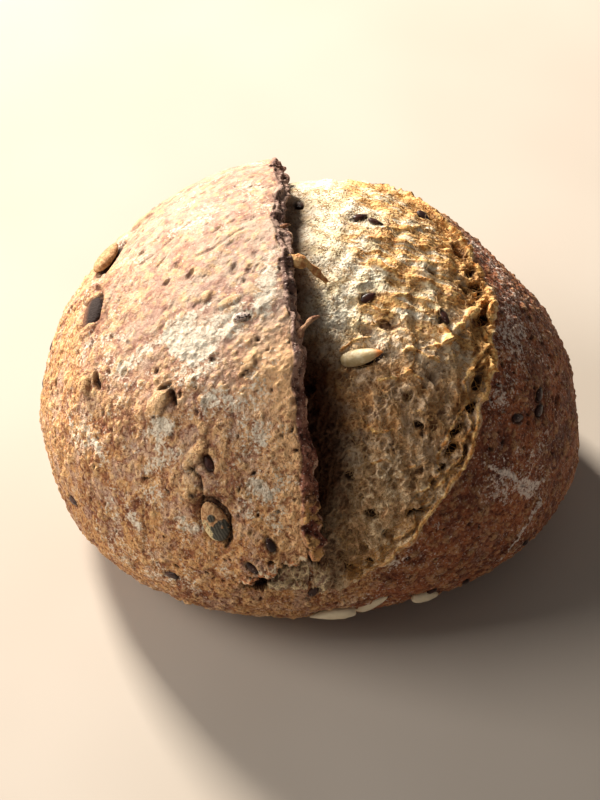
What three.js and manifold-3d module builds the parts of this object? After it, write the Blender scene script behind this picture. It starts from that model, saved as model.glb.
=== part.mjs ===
// A small round spelt sourdough loaf, baked with one deep slash. The crust left of the slash has
// lifted into a thick flap with a raised ear, the crust has torn across at the flap's front end,
// and coarse crumb shows between the ear and the rim of the right-hand crust.
// Millimetres, +X right, +Y back, +Z up. The loaf rests on its flat base at z = 0.
import * as THREE from "three";
import { mergeVertices } from "three/addons/utils/BufferGeometryUtils.js";
import Module from "manifold-3d";

// The dome that the whole loaf is worked out from.
const HALF_WIDTH = 83;
const HALF_DEPTH = 74;
const WAIST_HEIGHT = 29; // where the loaf is widest
const DOME_HEIGHT = 73; // from the waist to the crown
const BELLY_DEPTH = 38; // from the waist down, cut off by the table
const SQUARENESS = 2.1; // 2 would be an ellipsoid
const POLE_DROP = 0.3; // how far below the waist the two poles of the grid lie
const BASE_ROUNDING = 3; // height of the soft turn from the side to the base
const MIDDLE = { x: 0.32, y: -1.22 }; // centre of the loaf's box, seen from the dome's axis

// The slash and the flap. A place on the dome is a pair of angles in degrees: turn goes from the
// left side (0) over the top (90) to the right side (180) and under the base (270), and way goes
// from the front pole (0) to the back pole (180).
const EAR_TURN = 87;
const FRONT_END = 19.6; // way at which the slash closes at the front
const BACK_END = 156; // way at which it closes at the back
const RIM_TURN = 133.5; // the right-hand crust's rim at its furthest from the ear
const WIDEST_WAY = 75; // where the slash is widest
const FLAP_RISE = 7; // the ear's height over the dome
const GROOVE_DEPTH = 10; // under the ear, below the dome
const LIP_FACE = 5.2; // width of the ear's cut face
const UNDERCUT = 2.2; // how far the groove reaches under the ear
const RIM_CREST = 1.2; // height of the thin crisp rim
const STRIP_DEPTH = 1.3; // of the torn strip below the flap's front edge
const TEAR = { turn: 53.5, way: 24.4, slope: 0.107, length: 36.5 }; // the flap's front edge
const CORNER_WAY = 27.2; // where the ear meets the tear

// Places where the dough rose or settled unevenly: centre, reach and rise.
const LUMPS = [
  { at: [60, 35, 70], reach: 28, rise: -3.5 },
  { at: [10, -72, 16], reach: 22, rise: -2.4 },
  { at: [38, -66, 16], reach: 18, rise: -1.6 },
  { at: [-76, -28, 22], reach: 20, rise: -1.4 },
  { at: [80, -22, 24], reach: 20, rise: 2 },
  { at: [30, 66, 42], reach: 26, rise: -1.8 },
  { at: [-40, 62, 46], reach: 22, rise: 1.4 },
  { at: [-34, -63, 66], reach: 9, rise: 1.6 },
  { at: [-42, -43, 82], reach: 5, rise: 1.7 },
  { at: [-65, -28, 73], reach: 5, rise: 1.5 },
  { at: [-12, -74, 52], reach: 10, rise: 1.3 },
  { at: [52, -26, 82], reach: 11, rise: 1.1 },
  { at: [44, -48, 72], reach: 9, rise: 0.9 },
];

// The loaf rests on a three-sided flat patch, a hair lower than the rest of its base.
const REST = { radius: 40, height: 0.15 };

// Seeds: length, width and thickness. turn and way place one, sunk is how deep its middle lies
// below the surface, and spin turns it on the surface from the direction of growing way.
const SEED_SIZES = {
  pumpkin: [13, 7.8, 3.4],
  sunflower: [13.5, 4.8, 3.6],
  linseed: [4.8, 2.5, 1.5],
};
const BIG_SEEDS = [
  { kind: "pumpkin", turn: 59.6, way: 38.4, sunk: 0.3, spin: 1 },
  { kind: "pumpkin", turn: 38.3, way: 86.9, sunk: 1.3, spin: 8 },
  { kind: "pumpkin", turn: 41.4, way: 101.8, sunk: -0.8, spin: 20 },
  { kind: "sunflower", turn: 103.4, way: 64.2, sunk: -1.1, spin: 84 },
  { kind: "sunflower", turn: 128, way: 9.6, sunk: -0.8, spin: -137 },
  { kind: "sunflower", turn: 151, way: 17.6, sunk: 1, spin: -20 },
  { kind: "sunflower", turn: 172, way: 29.5, sunk: 0, spin: 60 },
  { kind: "sunflower", turn: 30, way: 121, sunk: 0.5, spin: 35 },
  { kind: "pumpkin", turn: 150, way: 128, sunk: 0.6, spin: -40 },
];
const LINSEED_SUNK = 0.25;
const LINSEEDS = [
  { turn: 63.5, way: 47.2, spin: -12 },
  { turn: 76.2, way: 32.3, spin: -15 },
  { turn: 66.2, way: 28.6, spin: -25 },
  { turn: 26.5, way: 34.2, spin: -50 },
  { turn: 75.6, way: 70, spin: 82 },
  { turn: 87.8, way: 109.2, spin: -5 },
  { turn: 102.2, way: 103.2, spin: 60 },
  { turn: 105.8, way: 101.3, spin: 112 },
  { turn: 118, way: 108.6, spin: 130 },
  { turn: 103.9, way: 77.9, spin: 58 },
  { turn: 121.4, way: 76, spin: 150 },
  { turn: 150.6, way: 73, spin: 8 },
  { turn: 151.8, way: 70, spin: 20 },
  { turn: 145.2, way: 64.7, spin: 60 },
  { turn: 93.7, way: 18.7, spin: 20 },
];
const LINSEED_COUNT = 30;

// How finely the surface is divided.
const LEFT_COLUMNS = 27;
const CRUMB_COLUMNS = 17;
const RIGHT_COLUMNS = 15;
const WAYS = [
  ...steps(3, 16.5, 4),
  ...steps(18.5, 30.5, 9),
  ...steps(33.5, 150, 33),
  ...steps(154, 177, 6),
];

const BREAD = new THREE.MeshStandardMaterial({
  name: "baked_bread",
  color: 0x8a5f42,
  roughness: 0.9,
  metalness: 0,
});

function steps(first, last, count) {
  return Array.from({ length: count }, (_, i) => first + ((last - first) * i) / (count - 1));
}

function clamp(value, low, high) {
  return Math.min(high, Math.max(low, value));
}

// A smooth step from 0 to 1 as value goes from 0 to 1.
function ease(value) {
  const t = clamp(value, 0, 1);
  return t * t * (3 - 2 * t);
}

// A bell of height 1 and the given reach.
function bell(distance, reach) {
  return Math.exp(-((distance / reach) ** 2));
}

// The plain dome's point and outward normal.
function dome(turn, way) {
  const u = THREE.MathUtils.degToRad(turn);
  const v = THREE.MathUtils.degToRad(way);
  const ray = new THREE.Vector3(-Math.cos(u) * Math.sin(v), -Math.cos(v), Math.sin(u) * Math.sin(v));
  ray.z -= POLE_DROP * ray.y ** 2;
  ray.normalize();
  const half = [HALF_WIDTH, HALF_DEPTH, ray.z > 0 ? DOME_HEIGHT : BELLY_DEPTH];
  const parts = ray.toArray().map((value, i) => Math.abs(value / half[i]) ** SQUARENESS);
  const reach = (parts[0] + parts[1] + parts[2]) ** (-1 / SQUARENESS);
  const point = ray.clone().multiplyScalar(reach);
  const slope = point
    .toArray()
    .map((value, i) => (Math.sign(value) * Math.abs(value / half[i]) ** (SQUARENESS - 1)) / half[i]);
  point.z += WAIST_HEIGHT;
  return { point, normal: new THREE.Vector3(...slope).normalize() };
}

function lumpRise(point) {
  return LUMPS.reduce((sum, lump) => {
    const distance = point.distanceTo(new THREE.Vector3(...lump.at));
    return sum + lump.rise * bell(distance, lump.reach);
  }, 0);
}

// The dome's skin raised by height, with its lumps and its flat base.
function skin(turn, way, height) {
  const { point, normal } = dome(turn, way);
  point.addScaledVector(normal, height + lumpRise(point));
  const k = BASE_ROUNDING;
  if (point.z < -k) point.z = 0;
  else if (point.z < k) point.z = (point.z + k) ** 2 / (4 * k);
  point.z = Math.max(point.z, REST.height);
  return point;
}

// Turn of the ear's edge, a little wavy.
function earTurn(way) {
  const bend = -5 * ease((way - 60) / 35) - 6 * ease((way - 105) / 50) + 2.7 * ease((34 - way) / 6);
  const bow = -1.3 * bell(way - 64, 16);
  return EAR_TURN + bend + bow + 0.45 * Math.sin(way * 0.31) + 0.3 * Math.sin(way * 0.83 + 1);
}

// Turn of the rim, bowed out to the right between the slash's two ends.
function rimTurn(way) {
  const bow =
    way < WIDEST_WAY ? 22 * ((WIDEST_WAY - way) / 55) ** 4 : 15 * ((way - WIDEST_WAY) / 43) ** 2;
  const wave = 0.6 * Math.sin(way * 0.36 + 2) + 0.4 * Math.sin(way * 0.9);
  return Math.max(RIM_TURN - bow + wave, earTurn(way) + 3);
}

// Millimetres along the skin for one degree of turn at the ear.
function millimetresPerDegree(way) {
  const turn = earTurn(way);
  return dome(turn, way).point.distanceTo(dome(turn + 1, way).point);
}

function grooveDepth(way) {
  const deep = ease((way - FRONT_END) / 20) - 0.85 * ease((way - 55) / 45);
  return GROOVE_DEPTH * deep * ease((BACK_END - way) / 25);
}

function tearWay(turn) {
  return TEAR.way + TEAR.slope * clamp(turn - TEAR.turn, 0, TEAR.length);
}

// 0 before the tear, 1 on the flap behind it.
function pastTear(turn, way) {
  return ease((way - tearWay(turn)) / 1.0 + 0.5);
}

// The flap rises from the left side up to the ear. Left of the tear the rise fades out softly.
function flapRise(turn, way) {
  const start = 28 * ease((way - 85) / 30);
  const side = ease((turn - start) / (84 - start));
  const length = (0.55 + 0.45 * ease((way - 30) / 45)) * ease((BACK_END + 2 - way) / 35);
  const torn = ease((turn - 40) / 25);
  return FLAP_RISE * side * length * (torn * pastTear(turn, way) + (1 - torn) * ease((way - 14) / 26));
}

// 1 on the torn strip under the flap's front edge.
function tornStrip(turn, way) {
  const low = 23.6 - 0.066 * clamp(turn - 51, 0, 60);
  const across = ease((turn - 50) / 6) * (1 - ease((turn - 112) / 4));
  return across * ease((way - low) / 1.2 + 0.5) * (1 - pastTear(turn, way));
}

// Coarse crags of the crumb: ridges across the slash, strongest toward the rim.
function crag(across, width, way) {
  const x = across * 0.55;
  const y = way * 0.42;
  const ridges = Math.sin(x + 1.7 * Math.sin(y * 0.6)) * Math.sin(y + 1.3 * Math.sin(x * 0.7 + 1));
  const fine = Math.sin(x * 2.3 + y * 1.1) * Math.sin(y * 2.1 - x * 0.8);
  const inside = ease((across - 9) / 8) * ease((width - across) / 3);
  return (0.75 * ridges + 0.45 * fine) * inside * (0.6 + 0.6 * ease(across / width));
}

// Height of the crumb over the dome, across millimetres to the right of the ear.
function crumbHeight(across, width, way) {
  const depth = grooveDepth(way) * clamp(width / 30, 0, 1);
  const fall = Math.exp(-((Math.max(across - 4, 0) / (0.26 * width + 2)) ** 1.6));
  const slope = 1.4 * clamp(depth / 8, 0, 1) * (1 - across / width);
  const ends = ease((way - 20) / 8) * ease((BACK_END - 4 - way) / 20);
  const crest = RIM_CREST * bell(width - across, 1.8) * (1 + 0.35 * Math.sin(way * 1.1));
  return crest * ends - depth * fall - slope + crag(across, width, way) * ends;
}

// Height of the surface at a place where it doesn't overhang.
function surfaceHeight(turn, way) {
  const ear = earTurn(way);
  if (turn < ear) return flapRise(turn, way) - STRIP_DEPTH * tornStrip(turn, way);
  if (turn > rimTurn(way)) return 0;
  const scale = millimetresPerDegree(way);
  return crumbHeight((turn - ear) * scale, (rimTurn(way) - ear) * scale, way);
}

// The ear's rounded edge, cut face and undercut, as steps to the right of the ear's edge and
// shares of the drop from the edge to the bottom of the groove.
const LIP = [
  { across: 0.46 * LIP_FACE, drop: 0.05 },
  { across: 0.92 * LIP_FACE, drop: 0.26 },
  { across: LIP_FACE, drop: 0.42 },
  { across: 0.3 * LIP_FACE, drop: 0.6 },
  { across: -UNDERCUT, drop: 0.76 },
  { across: -0.7 * UNDERCUT, drop: 0.93 },
  { across: 3, drop: 1 },
];

// One closed ring of points round the loaf.
function ring(way) {
  const ear = earTurn(way);
  const scale = millimetresPerDegree(way);
  const width = (rimTurn(way) - ear) * scale;
  const edge = surfaceHeight(ear - 0.01, way);
  const depth = grooveDepth(way) * clamp(width / 30, 0, 1);
  const drop = edge + depth;
  const open = clamp(drop / 12, 0, 1) * ease((way - CORNER_WAY) / 2.2) * ease((BACK_END + 2 - way) / 20);
  const slim = 1 - 0.3 * bell(way - 62, 16);
  const places = steps(0, 1, LEFT_COLUMNS).map((t) => {
    const turn = ear - (ear + 90) * (1 - t) ** 1.5;
    return { turn, height: turn < ear ? surfaceHeight(turn, way) : edge };
  });
  let across = 0;
  LIP.forEach((step, i) => {
    across = step.across * open * slim + (i + 1) * 0.2 * scale * (1 - open);
    places.push({ turn: ear + across / scale, height: edge - drop * step.drop });
  });
  const first = across;
  steps(0, 1, CRUMB_COLUMNS + 1)
    .slice(1)
    .forEach((t) => {
      across = first + (width - first) * t;
      places.push({ turn: ear + across / scale, height: crumbHeight(across, width, way) });
    });
  steps(0, 1, RIGHT_COLUMNS + 1)
    .slice(1, -1)
    .forEach((t) => {
      const rim = rimTurn(way);
      places.push({ turn: rim + (270 - rim) * t ** 1.25, height: 0 });
    });
  return places.map(({ turn, height }) => skin(turn, way, height));
}

// The closed skin: a fan at each pole and quads between the rings.
function loafGeometry() {
  const rings = WAYS.map(ring);
  const columns = rings[0].length;
  const points = [skin(90, 0, 0), ...rings.flat(), skin(90, 180, 0)];
  const faces = [];
  const at = (row, column) => 1 + row * columns + (column % columns);
  for (let column = 0; column < columns; column++) {
    faces.push(0, at(0, column + 1), at(0, column));
    faces.push(points.length - 1, at(rings.length - 1, column), at(rings.length - 1, column + 1));
  }
  for (let row = 0; row + 1 < rings.length; row++)
    for (let column = 0; column < columns; column++) {
      const corner = [at(row, column), at(row, column + 1), at(row + 1, column), at(row + 1, column + 1)];
      faces.push(corner[0], corner[1], corner[2], corner[1], corner[3], corner[2]);
    }
  const geometry = new THREE.BufferGeometry().setFromPoints(points);
  geometry.setIndex(faces);
  return geometry;
}

// A low-sided seed, lying along the surface.
function seedGeometry({ kind, turn, way, sunk, spin }) {
  const [length, width, thickness] = SEED_SIZES[kind];
  const height = surfaceHeight(turn, way);
  const middle = skin(turn, way, height);
  const right = skin(turn + 1, way, surfaceHeight(turn + 1, way)).sub(middle).normalize();
  const back = skin(turn, way + 1, surfaceHeight(turn, way + 1)).sub(middle).normalize();
  const up = new THREE.Vector3().crossVectors(right, back).normalize();
  const along = back.clone().applyAxisAngle(up, THREE.MathUtils.degToRad(-spin));
  const side = new THREE.Vector3().crossVectors(along, up);
  const frame = new THREE.Matrix4().makeBasis(side, along, up);
  frame.setPosition(middle.addScaledVector(up, -sunk));
  const geometry = new THREE.IcosahedronGeometry(0.5, 0);
  return geometry.scale(width, length, thickness * 1.1).applyMatrix4(frame);
}

// Numbers between 0 and 1 in a fixed order.
function numberSource(seed) {
  let state = seed;
  return () => {
    state = (state * 1664525 + 1013904223) % 4294967296;
    return state / 4294967296;
  };
}

// The linseeds in front, then others spread over the back and the sides by a rule, none near the
// ear or under the base.
function linseeds() {
  const random = numberSource(7);
  const seeds = [...LINSEEDS];
  while (seeds.length < LINSEED_COUNT) {
    const seed = { turn: random() * 180, way: 24 + random() * 126, spin: random() * 180 };
    const fromEar = seed.turn - earTurn(seed.way);
    const behind = seed.way > 124 || seed.turn < 24 || seed.turn > 160;
    const clear = seeds.every((s) => Math.hypot(s.turn - seed.turn, s.way - seed.way) > 9);
    if (clear && behind && (fromEar < -5 || fromEar > 18)) seeds.push(seed);
  }
  return seeds.map((seed) => ({ ...seed, kind: "linseed", sunk: LINSEED_SUNK }));
}

const wasm = await Module();
wasm.setup();

function toSolid(geometry) {
  const bare = geometry.clone();
  bare.deleteAttribute("normal");
  bare.deleteAttribute("uv");
  const merged = mergeVertices(bare, 1e-4);
  const vertProperties = new Float32Array(merged.attributes.position.array);
  const triVerts = new Uint32Array(merged.index.array);
  return new wasm.Manifold(new wasm.Mesh({ numProp: 3, vertProperties, triVerts }));
}

function toGeometry(solid) {
  const mesh = solid.getMesh();
  const geometry = new THREE.BufferGeometry();
  geometry.setAttribute("position", new THREE.BufferAttribute(mesh.vertProperties, 3));
  geometry.setIndex(new THREE.BufferAttribute(mesh.triVerts, 1));
  return geometry;
}

// The flat patch in the middle of the base, reaching up into the bread.
function restingPatch() {
  const patch = wasm.Manifold.cylinder(2, REST.radius, REST.radius, 3);
  return patch.translate([MIDDLE.x, MIDDLE.y, 0]);
}

function makeLoaf() {
  const seeds = [...BIG_SEEDS, ...linseeds()].map((seed) => toSolid(seedGeometry(seed)));
  const bread = toSolid(loafGeometry()).add(restingPatch());
  const joined = seeds.reduce((solid, seed) => solid.add(seed), bread);
  const geometry = toGeometry(joined);
  geometry.translate(-MIDDLE.x, -MIDDLE.y, 0);
  const mesh = new THREE.Mesh(geometry, BREAD);
  mesh.name = "loaf";
  return mesh;
}

const loaf = new THREE.Group();
loaf.add(makeLoaf());

export default loaf;
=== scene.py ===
import itertools

import bpy
import numpy as np
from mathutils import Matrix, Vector


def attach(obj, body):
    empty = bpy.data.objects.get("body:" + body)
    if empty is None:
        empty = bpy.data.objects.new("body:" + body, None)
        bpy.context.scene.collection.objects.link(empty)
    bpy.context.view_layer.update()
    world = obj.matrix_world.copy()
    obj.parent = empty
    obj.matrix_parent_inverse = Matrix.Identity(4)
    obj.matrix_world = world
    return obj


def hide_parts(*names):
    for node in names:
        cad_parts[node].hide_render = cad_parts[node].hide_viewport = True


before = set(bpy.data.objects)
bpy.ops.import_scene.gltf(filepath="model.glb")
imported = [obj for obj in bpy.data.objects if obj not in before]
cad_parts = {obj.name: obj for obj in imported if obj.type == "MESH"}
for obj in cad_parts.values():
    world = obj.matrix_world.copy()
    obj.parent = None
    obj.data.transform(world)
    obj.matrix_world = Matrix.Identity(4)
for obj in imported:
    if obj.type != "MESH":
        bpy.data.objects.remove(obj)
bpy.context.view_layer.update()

# A small round spelt sourdough loaf with one deep slash. Shapes are worked out in millimetres in
# the dome's own frame, +X right, +Y back, +Z up, and go to metres round the middle of its box.
MM = 0.001

# The dome that the whole loaf is worked out from, as in the solid.
HALF_WIDTH = 83.0
HALF_DEPTH = 74.0
WAIST_HEIGHT = 29.0
DOME_HEIGHT = 73.0
BELLY_DEPTH = 38.0
SQUARENESS = 2.1
POLE_DROP = 0.3
BASE_ROUNDING = 3.0
MIDDLE = np.array([0.32, -1.22, 0.0])

# The slash and the flap. turn goes from the left side (0) over the top (90) to the right (180)
# and under the base (270); way goes from the front pole (0) to the back pole (180). Degrees.
EAR_TURN = 87.0
FRONT_END = 19.6
BACK_END = 156.0
RIM_TURN = 133.5
WIDEST_WAY = 75.0
FLAP_RISE = 7.0
GROOVE_DEPTH = 10.0
LIP_FACE = 5.2
UNDERCUT = 2.2
RIM_CREST = 1.2
STRIP_DEPTH = 1.3
TEAR = {"turn": 53.5, "way": 24.4, "slope": 0.107, "length": 36.5}
CORNER_WAY = 27.2

# Places where the dough rose or settled unevenly: centre, reach and rise.
LUMPS = [
    ((60, 35, 70), 28, -3.5), ((10, -72, 16), 22, -2.4), ((38, -66, 16), 18, -1.6),
    ((-76, -28, 22), 20, -1.4), ((80, -22, 24), 20, 2), ((30, 66, 42), 26, -1.8),
    ((-40, 62, 46), 22, 1.4), ((-34, -63, 66), 9, 1.6), ((-42, -43, 82), 5, 1.7),
    ((-65, -28, 73), 5, 1.5), ((-12, -74, 52), 10, 1.3), ((52, -26, 82), 11, 1.1),
    ((44, -48, 72), 9, 0.9),
]

# The ear's rounded edge, cut face and undercut: steps to the right of the ear's edge and shares
# of the drop from the edge to the bottom of the groove.
LIP = [
    (0.0, 0.0),
    (0.46 * LIP_FACE, 0.05),
    (0.92 * LIP_FACE, 0.26),
    (LIP_FACE, 0.42),
    (0.3 * LIP_FACE, 0.6),
    (-UNDERCUT, 0.76),
    (-0.7 * UNDERCUT, 0.93),
    (3.0, 1.0),
]

# How finely the surface is divided.
BASE_COLUMNS = 20
LEFT_COLUMNS = 230
LIP_COLUMNS = 54
CRUMB_COLUMNS = 170
RIGHT_COLUMNS = 160
# The first column of the ear's edge, of the crumb and of the right-hand crust.
EAR = BASE_COLUMNS + LEFT_COLUMNS
GROOVE = EAR + LIP_COLUMNS
RIM = GROOVE + CRUMB_COLUMNS
WAYS = np.concatenate(
    [np.linspace(0.4, 9.6, 13), np.linspace(10, 130, 440), np.linspace(130.6, 179.6, 70)]
)
# Turns where the base begins on either side, and millimetres to a degree over the top.
BASE_LEFT = -12
BASE_RIGHT = 192
MM_PER_TURN = 1.3
MM_PER_WAY = 1.35

# Features of the crust and the crumb. Each place is a turn and a way; sizes are in millimetres,
# and spin turns a feature clockwise on the surface from the direction of growing way.
# Pits: turn, way, length, width, depth, spin, and how much painted shade darkens the bottom.
PITS = [
    (43.5, 100, 15, 4, 2.6, 22, 1), (40.6, 86.4, 10.5, 4.6, 2.6, 8, 1), (39.2, 69.6, 6, 2.8, 2.2, 5, 1),
    (22.7, 79.8, 3.6, 2.2, 1.6, 20, 0.9), (20, 84, 2.2, 1.6, 1, 0, 0.7),
    (38.9, 77.9, 3.6, 1.2, 0.6, 10, 0.5), (38.2, 82, 1.6, 3.6, 0.7, 0, 0.5),
    (52.1, 94.5, 3.2, 1.7, 0.7, 60, 0.5), (48.3, 98.3, 2, 1.2, 0.6, 60, 0.5),
    (57.5, 88.9, 5, 1, 0.5, 45, 0.5), (61.3, 85.8, 2.6, 2, 0.5, 0, 0.5),
    (64.5, 82.1, 4.4, 1.8, 0.7, 40, 0.5), (58.9, 82.5, 2.8, 1.8, 0.7, 40, 0.5),
    (77.5, 107.7, 3, 1, 0.5, 55, 0.5), (80.4, 106.6, 2.6, 0.9, 0.5, 60, 0.5),
    (70.4, 93, 6, 0.7, 0.3, 50, 0.4), (74.1, 80.9, 5, 2.4, 0.6, 12, 0.5),
    (77.4, 80.2, 4, 1.8, 0.5, 15, 0.5), (76.2, 77.5, 1.8, 1.2, 0.5, 0, 0.5),
    (44.8, 76.4, 1.8, 1.4, 0.6, 0, 0.5), (47.2, 67.7, 3.4, 1.9, 1.2, 45, 0.8),
    (43, 69.6, 2.2, 1.4, 0.6, 30, 0.5), (77, 59.3, 3.6, 1.9, 0.7, 70, 0.5),
    (60.1, 59.1, 2.4, 1.5, 1, 20, 0.7), (55.9, 53.4, 2.2, 1.8, 0.7, 0, 0.5),
    (71.9, 53.8, 2.6, 1.2, 0.6, 0, 0.5), (58.6, 59, 6, 1.8, 1.8, -8, 0.9),
    (56.9, 61.4, 1.5, 4.6, 1.2, -15, 0.8), (63.9, 47.4, 5.2, 2.3, 1, -12, 0.7),
    (50.6, 40.8, 2, 1.5, 0.6, 0, 0.5), (70.5, 35, 2, 1.4, 0.6, 30, 0.5),
    (86.9, 80.5, 1.8, 1.6, 1.2, 0, 0.8),
    # in the crumb
    (108.7, 71.6, 3.6, 6.6, 1.1, 8, 0.15), (118.6, 53.6, 2.4, 4.4, 2, 10, 0.9),
    (120.2, 52.6, 2.8, 2, 1.6, 0, 0.8), (111.6, 36.8, 2.4, 5.6, 1.8, 10, 0.9),
    (123.6, 39.6, 4.2, 1.9, 2, 35, 1), (126, 40.4, 3.6, 1.6, 1.7, 35, 0.9),
    (119.2, 34.5, 2.6, 3.8, 1.6, 0, 0.9), (110, 25.8, 2.2, 4, 1.4, 20, 0.8),
    (117.6, 28.4, 2.4, 3.2, 1.6, 30, 0.9), (128.3, 91.9, 6, 3.4, 2.8, 20, 1),
    (125.2, 98.6, 4.6, 3.2, 2.2, -30, 1), (130, 88.2, 4.2, 2, 1.8, 0, 0.9),
    (131.4, 80, 7.4, 2.5, 2.6, -4, 1), (126.5, 86, 3.4, 6, 1.6, 10, 0.5),
    (131.2, 65.6, 5.2, 2.7, 2.4, 15, 1), (130.6, 60.6, 4.6, 2.4, 2.2, 20, 1),
    (129, 56.2, 4.2, 2.2, 1.9, 25, 1), (128.4, 52, 5, 2.2, 2.1, 25, 1),
    (127.6, 48.6, 3.4, 1.8, 1.5, 30, 0.8), (126.4, 45, 4.4, 1.6, 1.7, 35, 0.9),
    (121.6, 75.8, 3.4, 1.8, 1.8, 30, 0.9), (118, 88.1, 1.8, 4.6, 0.8, 5, 0.35),
    (112.5, 84, 1.4, 4.4, 0.6, 10, 0.3), (103, 42, 2.2, 3.6, 1.2, 20, 0.8),
    # on the right-hand crust
    (150.5, 72.6, 5.4, 2.4, 0.9, 8, 0.7), (151.6, 70.2, 2.6, 1.6, 0.8, 0, 0.6),
    (145.2, 64.7, 2.6, 1.8, 0.7, 60, 0.6), (158, 76.4, 4, 1.6, 0.7, 5, 0.6),
]

# Swellings, some of them seeds under the skin: turn, way, length, width, height, spin.
SWELLINGS = [
    (53.9, 58.9, 10.5, 5.6, 1, 47), (56.4, 59.4, 4.8, 4.2, 1.3, 40), (60.7, 49.2, 10, 4.6, 1.7, 56),
    (58.2, 47.9, 4, 3.4, 0.9, 0), (56.2, 45.2, 8, 5.6, 0.8, 10), (48.9, 111.1, 8, 4, 1.5, 58),
    (36, 70.6, 6, 4.2, 1.5, 20), (76.6, 61.3, 4.4, 3.8, 1, 20), (65.1, 57.2, 2.4, 2.2, 0.7, 0),
    (45.2, 53, 2, 2, 0.6, 0), (62.6, 50.9, 1.8, 1.8, 0.6, 0), (73, 73.6, 3, 8, 0.6, -20),
    (53, 47.6, 1.8, 1.8, 0.5, 0), (49.5, 42.5, 1.7, 1.7, 0.5, 0), (42, 57.5, 3, 2.4, 0.5, 0),
    (68, 76, 4, 3, 0.5, 30), (64, 52.5, 3.6, 2.8, 0.5, 30), (148, 47.5, 3.4, 3, 0.5, 0),
    (158.5, 46, 3, 2.6, 0.5, 0), (167, 58.5, 3.4, 2.8, 0.6, 0), (141, 38.5, 3, 2.2, 0.5, 20),
]

# Lips of crust over the ends of half-buried seeds: turn, way, length, width, height, spin.
LIDS = [
    (37.8, 82.4, 5.6, 9, 1.3, 8), (38.6, 92, 6.6, 9, 1.4, 8), (35.2, 87, 9, 3.4, 1.2, 8),
    (74.4, 69.9, 2.6, 2.6, 0.9, 0),
]

# Cracks and creases in the crust: half width, depth and the places they pass.
CREASES = [
    (0.45, 1.1, [(58.9, 47.6), (60.6, 45.6), (59.9, 43.4), (58, 41.2), (55.6, 38.6)]),
    (0.6, -0.9, [(165.8, 58.9), (167, 56.5), (167.8, 52.4), (169, 48.8), (171.6, 46.1)]),
    (0.4, 0.35, [(76, 92), (71, 88), (66, 86.5)]), (0.4, 0.35, [(64, 98), (57.5, 93), (52, 91)]),
    (0.5, 0.4, [(47, 90), (43, 84), (44, 79)]), (0.5, 0.35, [(30, 62), (24, 56), (22, 49)]),
    (0.5, 0.35, [(40, 47), (33, 42.5), (26, 41)]),
]

# Torn strands and toasted ridges in the crumb: half width, height and the places they pass.
STRANDS = [
    (1.1, 2.6, [(131.5, 86), (129.8, 82.6), (127.6, 79.4), (125.8, 76.2), (123.8, 73.8)]),
    (0.65, 1.8, [(131, 79.6), (131.6, 75.4), (130.7, 71.5), (129, 67.4), (127.6, 64.2)]),
    (0.45, 1.4, [(127.6, 64.2), (129.6, 61.6), (128.3, 58.6), (126.8, 55.4), (126, 52.4)]),
    (0.45, 1.2, [(126, 52.4), (125.8, 50), (126.8, 47.4), (125, 44.6), (122.4, 42.4)]),
    (0.9, 2.4, [(120.2, 77.4), (121.4, 75), (122.2, 72.6), (122, 70.2)]),
    (0.6, 1.3, [(122, 70.4), (120.2, 69.2), (118.8, 69.8)]),
    (0.55, 1.2, [(122, 70.6), (123.6, 69.2), (124.6, 67.4)]),
    (1.1, 2, [(104.6, 87.6), (107.4, 86), (111.4, 84.4), (115.8, 84.6), (120.4, 83.6)]),
    (0.8, 1.2, [(103.8, 94.6), (108, 95.2), (113, 94.4), (118, 96)]),
    (0.8, 1.3, [(112.5, 89.6), (117, 89.8), (121.5, 91), (124, 90.4)]),
    (0.7, 1.1, [(108, 99.4), (113, 100.6), (118.4, 103.2)]),
    (0.6, 1.1, [(109.6, 78.6), (113.6, 79.6), (118, 79)]),
    (0.6, 1, [(103.5, 76.4), (107, 74.6), (110, 74.8)]),
    (0.6, 1.2, [(112.6, 66.2), (115, 67.6), (117.8, 66.2), (121.1, 66.4)]),
    (0.5, 1, [(114.4, 67.2), (114.8, 64.4), (113.4, 62.4)]),
    (0.5, 1.1, [(107, 59.8), (111.1, 60.6), (114, 62.2), (117.2, 61.8)]),
    (0.5, 0.9, [(98, 65.4), (101, 67.8), (104.6, 68.6)]),
    (0.4, 0.8, [(115.4, 55), (118, 56.2), (121.4, 55.4)]),
    (0.4, 0.8, [(104, 52), (108, 50.4), (112.6, 51.8)]),
    (0.35, 0.7, [(108, 45), (112, 46.6), (116.6, 45.4), (120, 47)]),
]

# Torn strips that stand free of the ear: half width, the root's way, the tip's offset in
# millimetres right, back and up, and how golden each is.
FLAKES = [
    (2.1, 83.4, (11.5, -2.6, -7.4), 0.9), (1.1, 65.9, (6.6, 6, 2.4), 0.15),
    (0.6, 81.4, (2.4, 1.6, -0.4), 0), (0.6, 92.5, (3, 2.4, -1), 0.3),
]

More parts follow.
